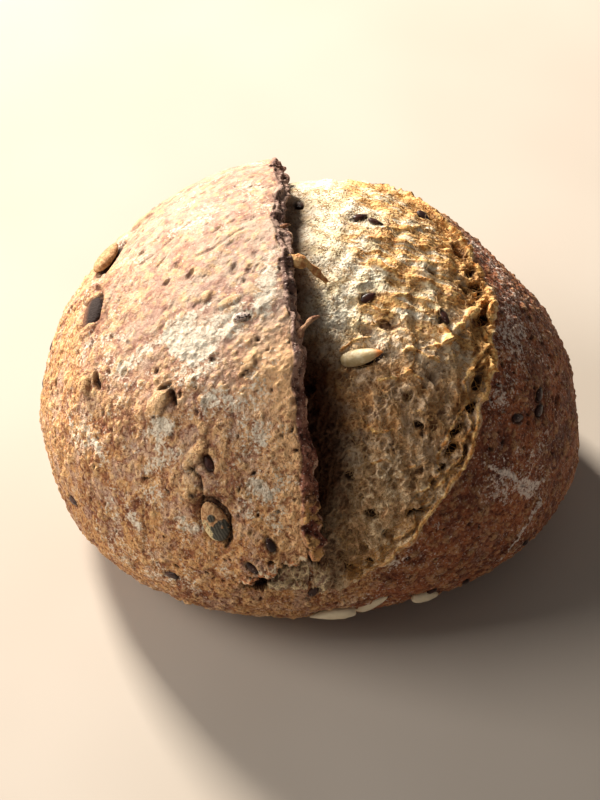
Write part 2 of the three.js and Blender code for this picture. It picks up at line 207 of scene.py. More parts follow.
# Flour left on the crust: half width, strength and the places it passes.
FLOUR = [
    (1.5, 0.85, [(56.5, 70), (61, 71), (65.4, 72.6), (68.4, 73.8)]),
    (4.6, 1, [(62.4, 67.2), (67, 67.4), (71, 68.8)]), (2.6, 0.9, [(64.6, 64.6), (68.4, 65.6)]),
    (2.6, 1, [(79.6, 71), (81.2, 74.2), (81.8, 78.4)]),
    (1.2, 0.8, [(71, 69.6), (75.6, 70), (79.6, 71)]),
    (2.4, 0.95, [(47.2, 68.4), (50.4, 68.4), (53.4, 69.8)]), (3.4, 0.62, [(64.4, 60.9), (68.2, 63)]),
    (2.6, 0.5, [(58.6, 61.3), (60.6, 62.6)]), (3.2, 0.85, [(76, 42), (77.4, 40.6)]),
    (2.8, 0.8, [(78.4, 36), (79, 34.8)]), (3.4, 0.65, [(70.1, 39.4), (71.5, 37.4)]),
    (2, 0.85, [(45.6, 51), (50.4, 50.8), (55.8, 50.8)]), (3.4, 0.68, [(41.6, 47.6), (44.4, 46.4)]),
    (3.2, 0.75, [(54.2, 55.7), (53, 54)]), (5.2, 0.64, [(75, 54), (74, 50.6), (76, 48)]),
    (2.8, 0.65, [(34.6, 76.4), (35.6, 79.8)]), (3, 0.6, [(70, 57), (66, 55)]),
    (0.7, 1, [(165.8, 58.9), (167, 56.5), (167.8, 52.4), (169, 48.8), (171.6, 46.1)]),
    (1, 1, [(141.5, 53.6), (145.5, 54.2), (149.6, 55.4), (154.3, 56), (162, 60)]),
    (2.8, 1, [(154, 54.6), (159, 57.4)]), (4.8, 0.72, [(147, 51.6), (152, 53.2)]),
    (6.5, 0.4, [(145, 55), (152, 57.5), (160, 58.5)]),
    (8, 0.6, [(137.6, 78), (139.6, 88), (138.5, 97), (134, 106)]),
    (4.5, 0.45, [(139, 66), (140.5, 74)]), (3.6, 0.6, [(78, 60), (79, 56)]),
    (3, 0.6, [(33, 63), (34.5, 57)]), (3.2, 0.55, [(47, 40), (53, 38.5)]),
    (2.6, 0.55, [(34, 49), (30, 44)]), (3, 0.35, [(124, 27), (130, 33), (133, 38)]),
]

# Seeds: length, width and thickness; then kind, turn, way, sunk below the surface, and spin.
SEED_SIZES = {
    "pumpkin": (13.0, 7.8, 3.4),
    "sunflower": (13.5, 4.8, 3.6),
    "linseed": (4.8, 2.5, 1.5),
}
BIG_SEEDS = [
    ("pumpkin", 59.6, 38.4, 0.3, 1), ("pumpkin", 38.3, 86.9, 1.3, 8),
    ("pumpkin", 41.4, 101.8, -0.8, 20), ("sunflower", 103.4, 64.2, -1.1, 84),
    ("sunflower", 128, 9.6, -0.8, -137), ("sunflower", 151, 17.6, 1, -20),
    ("sunflower", 172, 29.5, 0, 60), ("sunflower", 30, 121, 0.5, 35), ("pumpkin", 150, 128, 0.6, -40),
]
# Linseeds that show at the front: turn, way, spin.
LINSEEDS = [
    (63.5, 47.2, -12), (76.2, 32.3, -15), (66.2, 28.6, -25), (26.5, 34.2, -50), (75.6, 70, 82),
    (87.8, 109.2, -5), (102.2, 103.2, 60), (105.8, 101.3, 112), (118, 108.6, 130), (103.9, 77.9, 58),
    (121.4, 76, 150), (150.6, 73, 8), (151.8, 70, 20), (145.2, 64.7, 60), (93.7, 18.7, 20),
]
LINSEED_SUNK = 0.25
LINSEED_COUNT = 30
# The other linseeds are spread by one series of numbers, at least so many degrees apart, and only
# beyond this way or outside these turns, where they don't show from the front.
LINSEED_SERIES = 7
LINSEED_GAP = 9
SHOWN_WAY = 124
SHOWN_TURNS = (24, 160)


# ---------------------------------------------------------------- form

def ease(value):
    """A smooth step from 0 to 1 as value goes from 0 to 1."""
    t = np.clip(value, 0.0, 1.0)
    return t * t * (3 - 2 * t)


def bell(distance, reach):
    return np.exp(-((distance / reach) ** 2))


def unit(vectors):
    length = np.linalg.norm(vectors, axis=-1, keepdims=True)
    return vectors / np.maximum(length, 1e-9)


def dome(turn, way):
    """The plain dome's points and outward normals."""
    u, v = np.broadcast_arrays(np.radians(turn), np.radians(way))
    ray = np.stack([-np.cos(u) * np.sin(v), -np.cos(v), np.sin(u) * np.sin(v)], -1)
    ray[..., 2] -= POLE_DROP * ray[..., 1] ** 2
    ray = unit(ray)
    height = np.where(ray[..., 2] > 0, DOME_HEIGHT, BELLY_DEPTH)
    half = np.stack([np.full_like(height, HALF_WIDTH), np.full_like(height, HALF_DEPTH), height], -1)
    reach = (np.abs(ray / half) ** SQUARENESS).sum(-1, keepdims=True) ** (-1 / SQUARENESS)
    point = ray * reach
    normal = unit(np.sign(point) * np.abs(point / half) ** (SQUARENESS - 1) / half)
    point[..., 2] += WAIST_HEIGHT
    return point, normal


def settle(point):
    """Flattens what is below the table into the base, with a soft turn."""
    z = point[..., 2]
    k = BASE_ROUNDING
    point[..., 2] = np.where(z > k, z, np.where(z < -k, 0, (z + k) ** 2 / (4 * k)))
    return point


def skin(turn, way, height):
    point, normal = dome(turn, way)
    rise = height
    for centre, reach, lump in LUMPS:
        rise = rise + lump * bell(np.linalg.norm(point - np.array(centre), axis=-1), reach)
    return settle(point + normal * np.asarray(rise)[..., None])


def ear_turn(way):
    bend = -5 * ease((way - 60) / 35) - 6 * ease((way - 105) / 50) + 2.7 * ease((34 - way) / 6)
    bow = -1.3 * bell(way - 64, 16)
    return EAR_TURN + bend + bow + 0.45 * np.sin(way * 0.31) + 0.3 * np.sin(way * 0.83 + 1)


def rim_turn(way):
    front = 22 * (np.clip(WIDEST_WAY - way, 0, None) / 55) ** 4
    back = 15 * (np.clip(way - WIDEST_WAY, 0, None) / 43) ** 2
    wave = 0.6 * np.sin(way * 0.36 + 2) + 0.4 * np.sin(way * 0.9)
    return np.maximum(RIM_TURN - front - back + wave, ear_turn(way) + 3)


def millimetres_per_degree(way):
    turn = ear_turn(way)
    return np.linalg.norm(dome(turn + 1, way)[0] - dome(turn, way)[0], axis=-1)


def groove_depth(way):
    deep = ease((way - FRONT_END) / 20) - 0.85 * ease((way - 55) / 45)
    return GROOVE_DEPTH * deep * ease((BACK_END - way) / 25)


def tear_way(turn):
    jagged = 0.5 * np.sin(turn * 0.55 + 2.2) + 0.28 * np.sin(turn * 1.9) + 0.2 * np.sin(turn * 4.3)
    return TEAR["way"] + TEAR["slope"] * np.clip(turn - TEAR["turn"], 0, TEAR["length"]) + jagged


def past_tear(turn, way):
    return ease((way - tear_way(turn)) / 1.0 + 0.5)


def flap_rise(turn, way):
    start = 28 * ease((way - 85) / 30)
    side = ease((turn - start) / (84 - start))
    length = (0.55 + 0.45 * ease((way - 30) / 45)) * ease((BACK_END + 2 - way) / 35)
    torn = ease((turn - 40) / 25)
    return FLAP_RISE * side * length * (torn * past_tear(turn, way) + (1 - torn) * ease((way - 14) / 26))


def strip_low(turn):
    """Way of the lower edge of the torn strip."""
    return 23.6 - 0.066 * np.clip(turn - 51, 0, 60)


def torn_strip(turn, way):
    across = ease((turn - 50) / 6) * (1 - ease((turn - 112) / 4))
    return across * ease((way - strip_low(turn)) / 1.2 + 0.5) * (1 - past_tear(turn, way))


def fine_crag(across, way):
    x = across * 0.55
    y = way * 0.42
    return np.sin(x * 2.3 + y * 1.1) * np.sin(y * 2.1 - x * 0.8)


def crag(across, width, way):
    x = across * 0.55
    y = way * 0.42
    ridges = np.sin(x + 1.7 * np.sin(y * 0.6)) * np.sin(y + 1.3 * np.sin(x * 0.7 + 1))
    inside = ease((across - 9) / 8) * ease((width - across) / 3)
    rough = 0.75 * ridges + 0.45 * fine_crag(across, way)
    return rough * inside * (0.6 + 0.6 * ease(across / width))


def crumb_height(across, width, way):
    depth = groove_depth(way) * np.clip(width / 30, 0, 1)
    fall = np.exp(-((np.clip(across - 4, 0, None) / (0.26 * width + 2)) ** 1.6))
    slope = 1.4 * np.clip(depth / 8, 0, 1) * (1 - across / width)
    ends = ease((way - 20) / 8) * ease((BACK_END - 4 - way) / 20)
    crest = RIM_CREST * bell(width - across, 1.8) * (1 + 0.35 * np.sin(way * 1.1))
    return crest * ends - depth * fall - slope + crag(across, width, way) * ends


def crust_height(turn, way):
    return flap_rise(turn, way) - STRIP_DEPTH * torn_strip(turn, way)


def surface_height(turn, way):
    """Height at one place where the surface doesn't overhang."""
    way = np.asarray(float(way))
    ear = ear_turn(way)
    if turn < ear:
        return crust_height(np.asarray(float(turn)), way)
    if turn > rim_turn(way):
        return np.asarray(0.0)
    scale = millimetres_per_degree(way)
    return crumb_height((turn - ear) * scale, (rim_turn(way) - ear) * scale, way)


def place(turn, way):
    return skin(turn, way, surface_height(turn, way))


def spot(turn, way, spin):
    """A place's middle and its side, along and up directions on the surface."""
    middle = place(turn, way)
    right = unit(place(turn + 1, way) - middle)
    back = unit(place(turn, way + 1) - middle)
    up = unit(np.cross(right, back))
    angle = np.radians(-spin)
    along = back * np.cos(angle) + np.cross(up, back) * np.sin(angle)
    return middle, np.array([np.cross(along, up), along, up])


def smooth_through(controls, count):
    """Weights of a smooth curve that passes through the given number of control values."""
    weights = np.zeros((count, controls))
    for row, t in enumerate(np.linspace(0, controls - 1, count)):
        i = min(int(t), controls - 2)
        f = t - i
        cubic = (
            -0.5 * f + f**2 - 0.5 * f**3,
            1 - 2.5 * f**2 + 1.5 * f**3,
            0.5 * f + 2 * f**2 - 1.5 * f**3,
            -0.5 * f**2 + 0.5 * f**3,
        )
        for k, weight in enumerate(cubic):
            weights[row, min(max(i + k - 1, 0), controls - 1)] += weight
    return weights


def sections():
    """turn, height and across (millimetres right of the ear) for every ring of the surface."""
    way = WAYS[:, None]
    ear, rim, scale = ear_turn(way), rim_turn(way), millimetres_per_degree(way)
    width = (rim - ear) * scale
    under = np.linspace(-90, BASE_LEFT, BASE_COLUMNS, endpoint=False) + 0 * way
    left = BASE_LEFT + (ear - BASE_LEFT) * np.linspace(0, 1, LEFT_COLUMNS)
    left = np.concatenate([under, left], 1)
    left_height = crust_height(left, way)
    edge = crust_height(ear - 0.01, way)
    left_height[:, -1:] = edge

    depth = groove_depth(way) * np.clip(width / 30, 0, 1)
    drop = edge + depth
    opening = np.clip(drop / 12, 0, 1) * ease((way - CORNER_WAY) / 2.2)
    opening = opening * ease((BACK_END + 2 - way) / 20)
    slim = 1 - 0.3 * bell(way - 62, 16)
    controls = np.array([step[0] for step in LIP])
    flat = np.arange(len(LIP)) * 0.2
    weights = smooth_through(len(LIP), LIP_COLUMNS + 1)[1:]
    lip_across = (controls * opening * slim + flat * scale * (1 - opening)) @ weights.T
    lip_height = edge - drop * (weights @ np.array([step[1] for step in LIP]))
    first = lip_across[:, -1:]
    across = first + (width - first) * np.linspace(0, 1, CRUMB_COLUMNS + 1)[1:]
    right = rim + (BASE_RIGHT - rim) * np.linspace(0, 1, RIGHT_COLUMNS + 1)[1:]
    right = np.concatenate([right, np.linspace(BASE_RIGHT, 270, BASE_COLUMNS + 1)[1:] + 0 * way], 1)

    turn = np.concatenate([left, ear + lip_across / scale, ear + across / scale, right], 1)
    crumb = crumb_height(across, width, way)
    height = np.concatenate([left_height, lip_height, crumb, np.zeros_like(right)], 1)
    return turn, np.broadcast_to(way, turn.shape), height, (turn - ear) * scale, width + 0 * turn


# ---------------------------------------------------------------- noise

def hashed(x, y, z, seed):
    """Numbers from 0 to 1 for whole-number places."""
    n = (x * 374761393 + y * 668265263 + z * 1274126177 + seed * 974634777) & 0xFFFFFFFF
    n = ((n ^ (n >> 13)) * 1103515245) & 0xFFFFFFFF
    n = ((n ^ (n >> 16)) * 2246822519) & 0xFFFFFFFF
    return ((n ^ (n >> 13)) & 0xFFFFFF) / 0xFFFFFF


def noise(places, size, seed):
    """Smooth noise from -1 to 1, in lumps about size across."""
    q = places / size
    cell = np.floor(q).astype(np.int64)
    f = q - cell
    f = f * f * f * (f * (f * 6 - 15) + 10)
    total = np.zeros(places.shape[:-1])
    for corner in itertools.product((0, 1), repeat=3):
        weight = np.ones_like(total)
        for axis, side in enumerate(corner):
            weight = weight * (f[..., axis] if side else 1 - f[..., axis])
        total += weight * hashed(*(cell[..., axis] + corner[axis] for axis in range(3)), seed)
    return 2 * total - 1


def fractal(places, size, seed, octaves=4, gain=0.5):
    total = np.zeros(places.shape[:-1])
    weight = 1.0
    for octave in range(octaves):
        total += weight * noise(places, size / 2**octave, seed + octave)
        weight *= gain
    return total


def cells(places, size, seed):
    """Distances to the nearest and second nearest of scattered centres, as shares of size, and
    the nearest centre's own number from 0 to 1."""
    q = places / size
    cell = np.floor(q).astype(np.int64)
    near = np.full(places.shape[:-1], 9.0)
    second = near.copy()
    own = np.zeros_like(near)
    for offset in itertools.product((-1, 0, 1), repeat=3):
        at = [cell[..., axis] + offset[axis] for axis in range(3)]
        gap = sum((q[..., axis] - at[axis] - hashed(*at, seed + axis)) ** 2 for axis in range(3))
        distance = np.sqrt(gap)
        closer = distance < near
        second = np.where(closer, near, np.minimum(second, distance))
        own = np.where(closer, hashed(*at, seed + 7), own)
        near = np.minimum(near, distance)
    return near, second, own


def bowl(distance, radius):
    """A round hollow of depth 1."""
    return np.sqrt(np.clip(1 - (distance / radius) ** 2, 0, 1))


def dimples(places, size, seed, radius, spread, rare):
    """Round hollows of depth 1 at scattered centres, some wider than others, few where rare."""
    near, _, own = cells(places, size, seed)
    return bowl(near, radius + spread * own) * (own > rare)


def warped(places, size, amount, seed):
    shift = np.stack([noise(places, size, seed + 31 * axis) for axis in range(3)], -1)
    return places + amount * shift


def numbers(seed):
    """Numbers between 0 and 1 in a fixed order."""
    state = seed
    while True:
        state = (state * 1664525 + 1013904223) % 4294967296
        yield state / 4294967296


# ---------------------------------------------------------------- surface

def grid_normals(points):
    """Outward normals of a grid of points whose columns close round the loaf."""
    round_way = np.roll(points, -1, 1) - np.roll(points, 1, 1)
    long_way = np.gradient(points, axis=0)
    return unit(np.cross(round_way, long_way))


class Skin:
    """The loaf's surface: smooth places, and the heights and masks that its features add to."""

    def __init__(self):
        self.turn, self.way, self.height, self.across, self.width = sections()
        self.rim_gap = self.width - self.across
        self.places = skin(self.turn, self.way, self.height)
        self.normals = grid_normals(self.places)
        self.ragged = 0.9 * fractal(self.places, 4, 11, 3)
        column = np.arange(self.turn.shape[1]) + 0 * self.turn
        self.slashed = column >= EAR
        self.lip_part = (column - EAR) / LIP_COLUMNS
        empty = np.zeros((7, *self.turn.shape))
        self.rise, self.dark, self.tan, self.toast, self.pore, self.golden, self.flour = empty

    def near(self, middle, reach):
        """Which points lie within reach of a place."""
        gap = self.places - middle
        return np.nonzero((gap * gap).sum(-1) < reach * reach)

    def oval(self, turn, way, length, width, spin, margin=1.6):
        """Points round an oval mark, how far out each lies, 1 on its outline, and its own place."""
        middle, axes = spot(turn, way, spin)
        found = self.near(middle, margin * max(length, width) / 2 + 1)
        local = (self.places[found] - middle) @ axes.T
        wobble = 1 + 0.12 * noise(self.places[found], 2.2, 61)
        out = np.hypot(local[:, 0] / (width / 2), local[:, 1] / (length / 2)) * wobble
        return found, out, local

    def path(self, places, reach):
        """Points within reach of a path on the surface, and their distance to it."""
        stops = []
        for (turn, way), (next_turn, next_way) in zip(places, places[1:]):
            for t in np.linspace(0, 1, 6, endpoint=False):
                stops.append(place(turn + t * (next_turn - turn), way + t * (next_way - way)))
        stops = np.array(stops + [place(*places[-1])])
        middle = (stops.min(0) + stops.max(0)) / 2
        found = self.near(middle, np.linalg.norm(stops - middle, axis=1).max() + reach)
        points = self.places[found]
        best = np.full(len(points), 99.0)
        for a, b in zip(stops, stops[1:]):
            t = np.clip((points - a) @ (b - a) / ((b - a) @ (b - a)), 0, 1)
            best = np.minimum(best, np.linalg.norm(points - a - t[:, None] * (b - a), axis=1))
        return found, best


def soft_relief(p):
    """Broad, soft unevenness that crust and rolled edge share."""
    return 0.5 * fractal(p, 16, 21, 3) + 0.22 * fractal(p, 5, 22, 3)


def crust_texture(s, part):
    """Height, painted shade in the hollows, and raised tops of the baked crust."""
    p, turn, way = s.places[part], s.turn[part], s.way[part]
    above = ease((way - 62) / 16) * ease((turn - 30) / 12) * ease((88 - turn) / 8)
    right_side = ease((turn - 125) / 10)
    blister = dimples(warped(p, 4, 0.8, 23), 4.2, 24, 0.2, 0.3, 0.5)
    granule = dimples(warped(p, 2, 0.5, 25), 1.9, 26, 0.25, 0.3, 0.3)
    crater = dimples(warped(p, 3, 1.2, 27), 3.6, 28, 0.05, 0.2, 0.6)
    # fine dimples drawn out by the rising dough
    x, y = turn * MM_PER_TURN, way * MM_PER_WAY
    slant = np.radians(np.where(right_side > 0.5, 90.0, 45.0))
    c, q = np.cos(slant), np.sin(slant)
    drawn = np.stack([(x * c + y * q) / 4.6, (y * c - x * q) / 1.5, 0 * x], -1)
    dimple = dimples(warped(drawn, 1.2, 0.35, 29), 1, 30, 0.32, 0, 0.75)
    rise = (
        soft_relief(p)
        + 0.48 * blister * (1 - 0.6 * above)
        + 0.34 * granule * (1 - 0.8 * above)
        - 0.85 * crater * (1 - 0.8 * above)
        - 0.3 * dimple * above
        + 0.1 * fractal(drawn, 0.8, 33, 2) * (0.4 + 0.6 * above + 0.7 * right_side)
        + 0.17 * fractal(p, 1.9, 34, 2) * (1 - 0.6 * above)
    )
    # painted shade in the craters and drawn dimples
    hollow = np.clip(1.1 * crater * (1 - 0.5 * above) + 0.5 * dimple * above, 0, 1)
    return rise, hollow, np.clip(0.6 * blister + 0.75 * granule, 0, 1)


def crossings(places, size, width, seed):
    """Thin threads: the lines where a noise passes through zero."""
    return bell(noise(places, size, seed), width)


def crumb_texture(s, part):
    """Height, painted shade in the pores and gaps by their depth, and toasting of the torn crumb."""
    p, across, way, rim_gap = s.places[part], s.across[part], s.way[part], s.rim_gap[part]
    along = way * MM_PER_WAY
    by_rim = ease((8 - rim_gap) / 4) * ease((way - 58) / 10) * ease((118 - way) / 22)
    upper = ease((way - 64) / 12) * ease((142 - way) / 24) * ease((across - 15) / 12)
    lower = 1 - ease((way - 52) / 22)
    pale_top = ease((way - 68) / 14)
    bubble = dimples(warped(p, 5, 1.2, 31), 5.2, 32, 0.14, 0.24, 0.6)
    near, second, _ = cells(warped(p, 2.2, 1.1, 42), 2.6, 34)
    web = bell(second - near, 0.12)
    floor = ease((second - near) / 0.5) * ease(0.7 + 0.9 * noise(p, 6, 45))
    pore = dimples(warped(p, 1.2, 0.4, 35), 1.25, 36, 0.5, 0, -1) * ease(0.5 + noise(p, 3.5, 46))
    loose = warped(p, 2.5, 1.3, 47)
    threads = np.maximum(crossings(loose, 2.4, 0.09, 48), crossings(loose, 1.7, 0.1, 49))
    threads = threads * ease(0.6 + 0.8 * noise(p, 5, 50))
    torn_places = np.stack([across / 10, along / 2 + across / 16, s.height[part] / 6], -1)
    torn = fractal(warped(torn_places, 0.8, 0.3, 39), 1, 40, 3)
    ridge = np.clip(1 - 2.3 * np.abs(torn), 0, 1) ** 1.5
    rope_places = np.stack([along / 7, rim_gap / 2.6, 0 * along], -1)
    rope = np.clip(1 - 2.2 * np.abs(fractal(warped(rope_places, 0.8, 0.3, 37), 1, 38, 2)), 0, 1)
    edge = upper * ease((17 - rim_gap) / 11)
    gaps = edge * ease((0.3 - ridge) / 0.25) * ease(0.5 + noise(p, 4, 56))
    rise = (
        (0.5 - 0.15 * pale_top) * fractal(p, 9, 41, 2)
        - (1.3 - pale_top) * bubble
        + lower * (0.45 * web - 0.55 * floor)
        + 0.5 * (1 - 0.8 * pale_top) * threads
        - (0.4 - 0.28 * pale_top) * pore
        + by_rim * (2 * rope - 1.2)
        + (0.4 * upper + 0.5 * edge) * (ridge - 0.3)
        - 0.3 * pale_top * fine_crag(across, way) * ease((across - 9) / 8)
        + (0.2 - 0.13 * pale_top) * fractal(p, 1.3, 43, 2)
        - 0.5 * gaps
    )
    browned = 0.25 + 0.7 * ridge + 0.6 * ease((torn + 0.1) / 0.6)
    toast = (
        0.55 * edge * (0.5 + ridge)
        + upper * browned * ease(0.75 + 0.7 * noise(p, 9, 44))
        + by_rim * (0.25 + 0.9 * rope)
        + 0.55 * threads * (1 - pale_top)
    )
    # painted shade: how dark each pore, bubble, floor and gap is drawn
    depth = (
        (0.45 - 0.25 * pale_top) * pore
        + (0.65 - 0.45 * pale_top) * bubble
        + 0.75 * lower * floor
        + 0.65 * by_rim * (1 - rope)
        + 0.6 * gaps
    )
    return rise, np.clip(depth, 0, 1), np.clip(toast, 0, 1)


def lip_texture(s, part):
    """Height and painted shade in the holes of the ear's rolled edge and cut face, which has no raised
    tops.
    """
    p, way = s.places[part], s.way[part]
    corner = 1 - ease((way - 34) / 12)
    layers = np.stack([s.across[part] / 2, way * 0.16, s.height[part] / 1.1], -1)
    hole = dimples(warped(p, 2, 0.5, 54), 2.4, 53, 0.16, 0.26, 0.5)
    grain = dimples(warped(p, 1.5, 0.4, 84), 1.7, 85, 0.3, 0.25, -1)
    rise = (
        soft_relief(p)
        + 0.55 * corner * (grain - 0.5)
        + (0.4 + 0.9 * corner) * fractal(p, 4.5, 51, 3)
        + (0.5 + 0.35 * corner) * fractal(p, 1.5, 55, 2)
        + 0.55 * fractal(layers, 1, 52, 2)
        - 0.8 * hole
    )
    return rise, 0.8 * hole, 0 * hole


def mark_borders(s):
    """How much each place is crumb, the ear's rolled edge or crust, ragged along the borders."""
    turn, way, ragged = s.turn, s.way, s.ragged
    s.opened = ease((way - CORNER_WAY) / 2) * ease((BACK_END - way) / 12)
    end = 1 - ease((s.lip_part - 0.8) / 0.18)
    s.lip = ease((s.lip_part + 0.02 * ragged - 0.02) / 0.05) * end * s.opened
    start = ease((s.across + 0.4 * ragged - 0.3) / 1.2)
    beside = np.where(s.lip_part > 0.5, np.maximum(s.opened, start), start * (1 - s.opened))
    slash = ease((s.rim_gap + 0.35 * ragged) / 0.7 + 0.5) * beside * (1 - s.lip)
    slash = slash * s.slashed * ease((BACK_END - way) / 3)
    border = strip_low(turn) - 1.7 * ease((turn - 62) / 8) * ease((104 - turn) / 8)
    low = ease((way - border + 0.5 * ragged) / 0.7 + 0.5)
    below = ease((turn - 62) / 6) * low * (1 - past_tear(turn, way))
    strip = ~s.slashed * np.maximum(torn_strip(turn + ragged, way), below)
    s.crumb = np.maximum(slash * low, strip)
    s.crust = 1 - np.clip(s.crumb + s.lip, 0, 1)


# Shares of a texture below this don't show.
FAINT_SHARE = 0.003


def add_textures(s):
    """Gives crust, crumb and lip their own textures, each in its share of the surface."""
    for share, texture, hollows, tops in (
        (s.crust, crust_texture, s.dark, s.tan),
        (s.crumb, crumb_texture, s.pore, s.toast),
        (s.lip, lip_texture, s.dark, s.tan),
    ):
        part = share > FAINT_SHARE
        for sheet, values in zip((s.rise, hollows, tops), texture(s, part)):
            sheet[part] += share[part] * values


def shape_ear(s):
    """The line where the flap's skin breaks, the bubbly front corner and a pale fringe, with painted
    shade along the break and between the corner's crags.
    """
    way, smooth, part = s.way, s.places, s.lip_part
    broken = ease(0.35 + 0.9 * noise(smooth, 7, 72) + 0.5 * (1 - ease((way - 60) / 20)))
    crease = bell(s.across - 0.35 + 0.3 * s.ragged, 0.3) * s.opened * broken * (part < 0.2)
    face = s.lip * ease((0.62 - part) / 0.2) * ease(part / 0.1)
    corner = bell(way - 33.5, 6.5) * face
    lumps = noise(smooth, 3.2, 73)
    crags = 0.9 * lumps + 0.6 * noise(smooth, 1.6, 74)
    s.rise += 0.15 * face - 0.1 * crease + 1.9 * corner * (1 + crags)
    s.dark += 0.25 * crease + 0.7 * corner * ease(-0.2 - crags)
    s.toast = np.maximum(s.toast, corner * ease(0.7 + lumps))
    fringe = bell(part - 0.34 - 0.05 * noise(smooth, 3, 78), 0.045)
    fringe = fringe * s.lip * ease(noise(smooth, 2.4, 79) + 0.6)
    s.golden = np.maximum(s.golden, 0.75 * fringe * (1 - ease((way - 92) / 12)))


def shape_front_tear(s):
    """The crack under the flap's torn front edge, with painted shade in it, the frill on the edge and
    the bare strip.
    """
    turn, way, ragged, smooth = s.turn, s.way, s.ragged, s.places
    torn = ease((turn - 54) / 5) * ease((97 - turn) / 6)
    past = way - tear_way(turn)
    wedge = bell(turn - 64, 8.5)
    crack = ease((past + 2.9 + 0.9 * wedge + 0.5 * ragged) / 0.5) * ease((0.3 - past) / 0.5) * torn
    s.rise -= (1 + 0.8 * wedge) * crack
    # painted shade in the crack
    s.dark += crack * (0.75 + 0.5 * wedge)
    frill = bell(past - 1 + 0.4 * ragged, 0.85) * torn * ~s.slashed
    s.rise += 0.6 * frill * (1 + noise(smooth, 2.2, 80))
    s.golden = np.maximum(s.golden, frill * ease(1 + noise(smooth, 2.6, 82)))
    top = tear_way(turn) - 0.16 * np.clip(turn - 80, 0, 30) + 0.6 * ragged
    bare = ease((turn - 60) / 6) * ease((104 - turn) / 5) * ease((top - way) / 0.8 + 0.5)
    s.strip = s.crumb * bare * (1 - np.clip(crack, 0, 1))


def shape_rim(s):
    """The slash's rim: a thick torn rope above, two thin lines with painted shade in the gaps between
    them below.
    """
    way, smooth = s.way, s.places
    rope = ease((way - 58) / 10) * ease((130 - way) / 24)
    lines = ease((way - 22) / 6) * (1 - ease((way - 58) / 8))
    wander = 0.5 * np.sin(way * 1.3) + 0.7 * noise(smooth, 5, 75)
    outer = bell(s.rim_gap - 0.5 + 0.2 * wander, 0.45 + 0.55 * rope)
    outer = outer * np.maximum(rope, lines) * s.slashed
    inner = bell(s.rim_gap - 3.1 - wander, 0.45) * lines * s.slashed
    gap = bell(s.rim_gap - 1.8 - 0.5 * wander, 0.7) * lines * s.slashed
    gap = gap * ease(0.3 + 1.2 * noise(smooth, 4, 76))
    s.rise += outer * (1 + 0.6 * rope * (1 + 0.6 * noise(smooth, 3, 77))) + 0.9 * inner - 1.1 * gap
    # painted shade in the gaps
    s.dark += 0.55 * gap
    s.golden = np.maximum(s.golden, np.maximum(outer, 0.8 * inner))
    s.pore = np.maximum(s.pore, gap)


def lift(sheet, found, values):
    """Brings a mask up to at least the values at the found points."""
    sheet[found] = np.maximum(sheet[found], values)


def add_marks(s):
    """Swellings, pits, creases and torn strands, with painted shade in the pits and creases and round
    the swellings' feet.
    """
    for turn, way, length, width, height, spin in SWELLINGS:
        found, out, _ = s.oval(turn, way, length, width, spin)
        top = bowl(out, 1) ** 0.8
        s.rise[found] = s.rise[found] * (1 - 0.4 * top) + height * top
        lift(s.tan, found, 0.85 * top)
        # painted shade in a ring round the swelling's foot
        s.dark[found] += 0.4 * bell(out - 1.08, 0.14)
    for turn, way, length, width, depth, spin, shade in PITS:
        found, out, _ = s.oval(turn, way, length, width, spin)
        hole = ease((1.12 - out) / 0.5)
        s.rise[found] -= depth * hole
        lift(s.dark, found, shade * ease((1.05 - out) / 0.35))
        lift(s.pore, found, hole)
    for width, depth, places in CREASES:
        found, gap = s.path(places, 3 * width)
        gap = gap + 0.25 * noise(s.places[found], 1.5, 62)
        s.rise[found] -= depth * bell(gap, width)
        lift(s.dark, found, min(1, depth + 0.1) * bell(gap, width * 0.8))
    for width, height, places in STRANDS:
        found, gap = s.path(places, 4 * width)
        gap = gap + 0.35 * noise(s.places[found], 1.6, 63)
        body = bell(gap, width) * (0.8 + 0.3 * noise(s.places[found], 2.2, 64))
        s.rise[found] += height * body
        lift(s.golden, found, np.clip(1.15 * body, 0, 1))
        s.pore[found] *= 1 - body
        s.dark[found] *= 1 - body


def bed_seeds(s):
    """The hollow that each seed sits in, with painted shade in it that is heavier on each big seed's
    right as a painted shadow, and the lips of crust over some seeds' ends.
    """
    for kind, turn, way, _, spin in BIG_SEEDS:
        length, width, _ = SEED_SIZES[kind]
        found, out, local = s.oval(turn, way, length, width, spin, 2.2)
        moat = bell(out - 1.14, 0.17) * (0.35 + 0.65 * ease(local[:, 0] / width + 0.5))
        inside = ease((1.1 - out) / 0.2)
        deep = 1.8 if kind == "pumpkin" else 0.6
        s.rise[found] = s.rise[found] * (1 - inside) - deep * moat - 0.7 * inside
        # painted shade in the seed bed and under the seed, heavier on the right as a painted shadow
        lift(s.dark, found, np.maximum(moat * deep / 1.8, inside))
    for turn, way, spin in all_linseeds():
        length, width, _ = SEED_SIZES["linseed"]
        found, out, _ = s.oval(turn, way, length, width, spin, 2.4)
        inside = ease((1.15 - out) / 0.25)
        moat = bell(out - 1.15, 0.22)
        s.rise[found] = s.rise[found] * (1 - 0.8 * inside) - 0.35 * moat - 0.3 * inside
        lift(s.dark, found, np.maximum(0.6 * moat, inside))
    for turn, way, length, width, height, spin in LIDS:
        found, out, _ = s.oval(turn, way, length, width, spin)
        top = bowl(out, 1) ** 0.8
        s.rise[found] += height * top
        s.dark[found] *= 1 - ease(1.6 * top)


def spread_flour(s):
    """Flour along its paths, with ragged ends."""
    for width, strength, places in FLOUR:
        found, gap = s.path(places, 3 * width + 3)
        p = s.places[found]
        ends = 0.5 * fractal(p, 6, 65, 4) + 0.25 * fractal(p, 1.8, 66, 2)
        lift(s.flour, found, strength * ease((1.75 - gap / width + ends) / 1.5))


